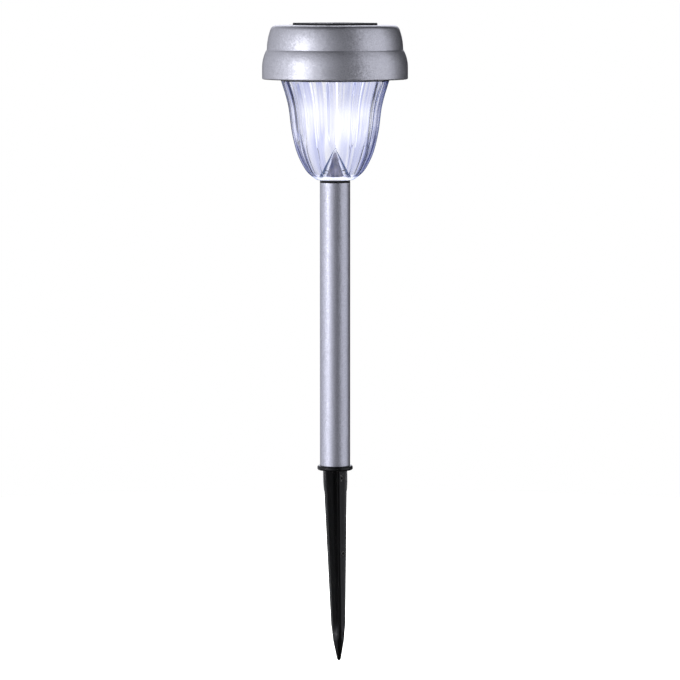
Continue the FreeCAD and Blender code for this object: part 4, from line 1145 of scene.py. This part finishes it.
# What shows through the lens, by azimuth in degrees from straight behind it.
NAVY = (0.008, 0.012, 0.045)
DUSK = (0.03, 0.04, 0.14)
BLUE = (0.22, 0.25, 0.50)
HAZE = (0.45, 0.48, 0.72)
PALE = (0.56, 0.59, 0.86)
SIDE = (0.60, 0.63, 0.86)
NEAR_WHITE = (0.92, 0.93, 1.0)
BACKDROP = [
    (-105, SIDE), (-84, HAZE), (-70, NAVY), (-62, NAVY), (-44, DUSK), (-30, BLUE), (-18, PALE),
    (-12, NEAR_WHITE), (-6, (0.74, 0.76, 0.96)), (0, (1.0, 1.0, 1.0)), (6, NEAR_WHITE),
    (12, (0.62, 0.65, 0.90)), (18, PALE), (30, BLUE), (44, DUSK), (62, NAVY), (70, NAVY), (84, HAZE),
    (105, SIDE),
]
BACKDROP_HEIGHT = [(-25, 1.0), (20, 1.0), (32, 0.45), (60, 0.12)]
# The pale floor, as the lens shows it.
FLOOR_HEIGHT = [(-34, 1.0), (-22, 0.0)]
FLOOR_WIDTH = [(-55, 0.0), (-38, 1.0), (38, 1.0), (55, 0.0)]


def degrees_ramp(nodes, angle, stops, span):
    """A smooth grey or colour curve over an angle in degrees, from -span to span."""
    turn = nodes.math("MULTIPLY_ADD", angle, 0.5 / math.radians(span), 0.5)
    return nodes.ramp(turn, [(a / span / 2 + 0.5, v) for a, v in stops])


def studio_world():
    """A pale studio: a soft key to the left, a panel to the right, darkness in front and at the back right.

    The camera sees plain white. What shows through the lens is the backdrop.
    """
    world = bpy.data.worlds.new("studio")
    bpy.context.scene.world = world
    world.use_nodes = True
    world.node_tree.nodes.clear()
    nodes = Nodes(world.node_tree)
    output = nodes.add("OutputWorld")
    where = nodes.add("TexCoord").outputs["Generated"]
    axes = nodes.add("SeparateXYZ", {"Vector": where})
    forwards = nodes.math("MULTIPLY", axes.outputs["Y"], -1.0)
    azimuth = nodes.math("ARCTAN2", axes.outputs["X"], forwards)
    height = nodes.math("ARCSINE", axes.outputs["Z"])
    room = degrees_ramp(nodes, azimuth, ROOM, 180)
    room_height = degrees_ramp(nodes, height, ROOM_HEIGHT, 90)
    key = degrees_ramp(nodes, azimuth, KEY, 180)
    key_height = degrees_ramp(nodes, height, KEY_HEIGHT, 90)
    light = nodes.math("MULTIPLY_ADD", key, key_height, nodes.math("MULTIPLY", room, room_height))
    strip = degrees_ramp(nodes, azimuth, STRIP, 180)
    light = nodes.math("MULTIPLY_ADD", strip, degrees_ramp(nodes, height, STRIP_HEIGHT, 90), light)
    seen = nodes.times((0.965, 0.975, 1.08, 1.0), light)
    behind = nodes.math("ARCTAN2", axes.outputs["X"], axes.outputs["Y"])
    backdrop = degrees_ramp(nodes, behind, BACKDROP, 180)
    far = degrees_ramp(nodes, height, BACKDROP_HEIGHT, 90)
    pale_floor = nodes.times(
        degrees_ramp(nodes, height, FLOOR_HEIGHT, 90), degrees_ramp(nodes, behind, FLOOR_WIDTH, 180)
    )
    through = nodes.mix(pale_floor, nodes.times(backdrop, far), (1.1, 1.12, 1.2, 1.0))
    path = nodes.add("LightPath")
    seen = nodes.mix(path.outputs["Is Transmission Ray"], seen, through)
    seen = nodes.mix(path.outputs["Is Camera Ray"], seen, (1.0, 1.0, 1.0, 1.0))
    background = nodes.add("Background", {"Color": seen, "Strength": 1.0})
    nodes.feed(output.inputs["Surface"], background.outputs[0])


def camera():
    """A long lens, a little above the light's head, so that the cap's flat top is just seen."""
    data = bpy.data.cameras.new("camera")
    data.lens = 200.0
    data.sensor_width = 36.0
    data.clip_end = 20.0
    eye = Vector((0.0, -2.361, 0.308))
    aim = Vector((0.0031, 0.0, 0.0814))
    item = bpy.data.objects.new("camera", data)
    item.location = eye
    item.rotation_euler = (aim - eye).to_track_quat("-Z", "Y").to_euler()
    bpy.context.scene.collection.objects.link(item)
    bpy.context.scene.camera = item


spike_piece()
tube_piece()
lens_piece()
cap_piece()
panel_pieces()
finish_carried()
floor_disc()
studio_world()
area_light("key", azimuth=-55, elevation=8, distance=1.6, width=0.35, height=0.7, power=1.6,
           colour=(1.0, 0.99, 1.0))
camera()
bpy.context.scene.view_settings.view_transform = "Standard"
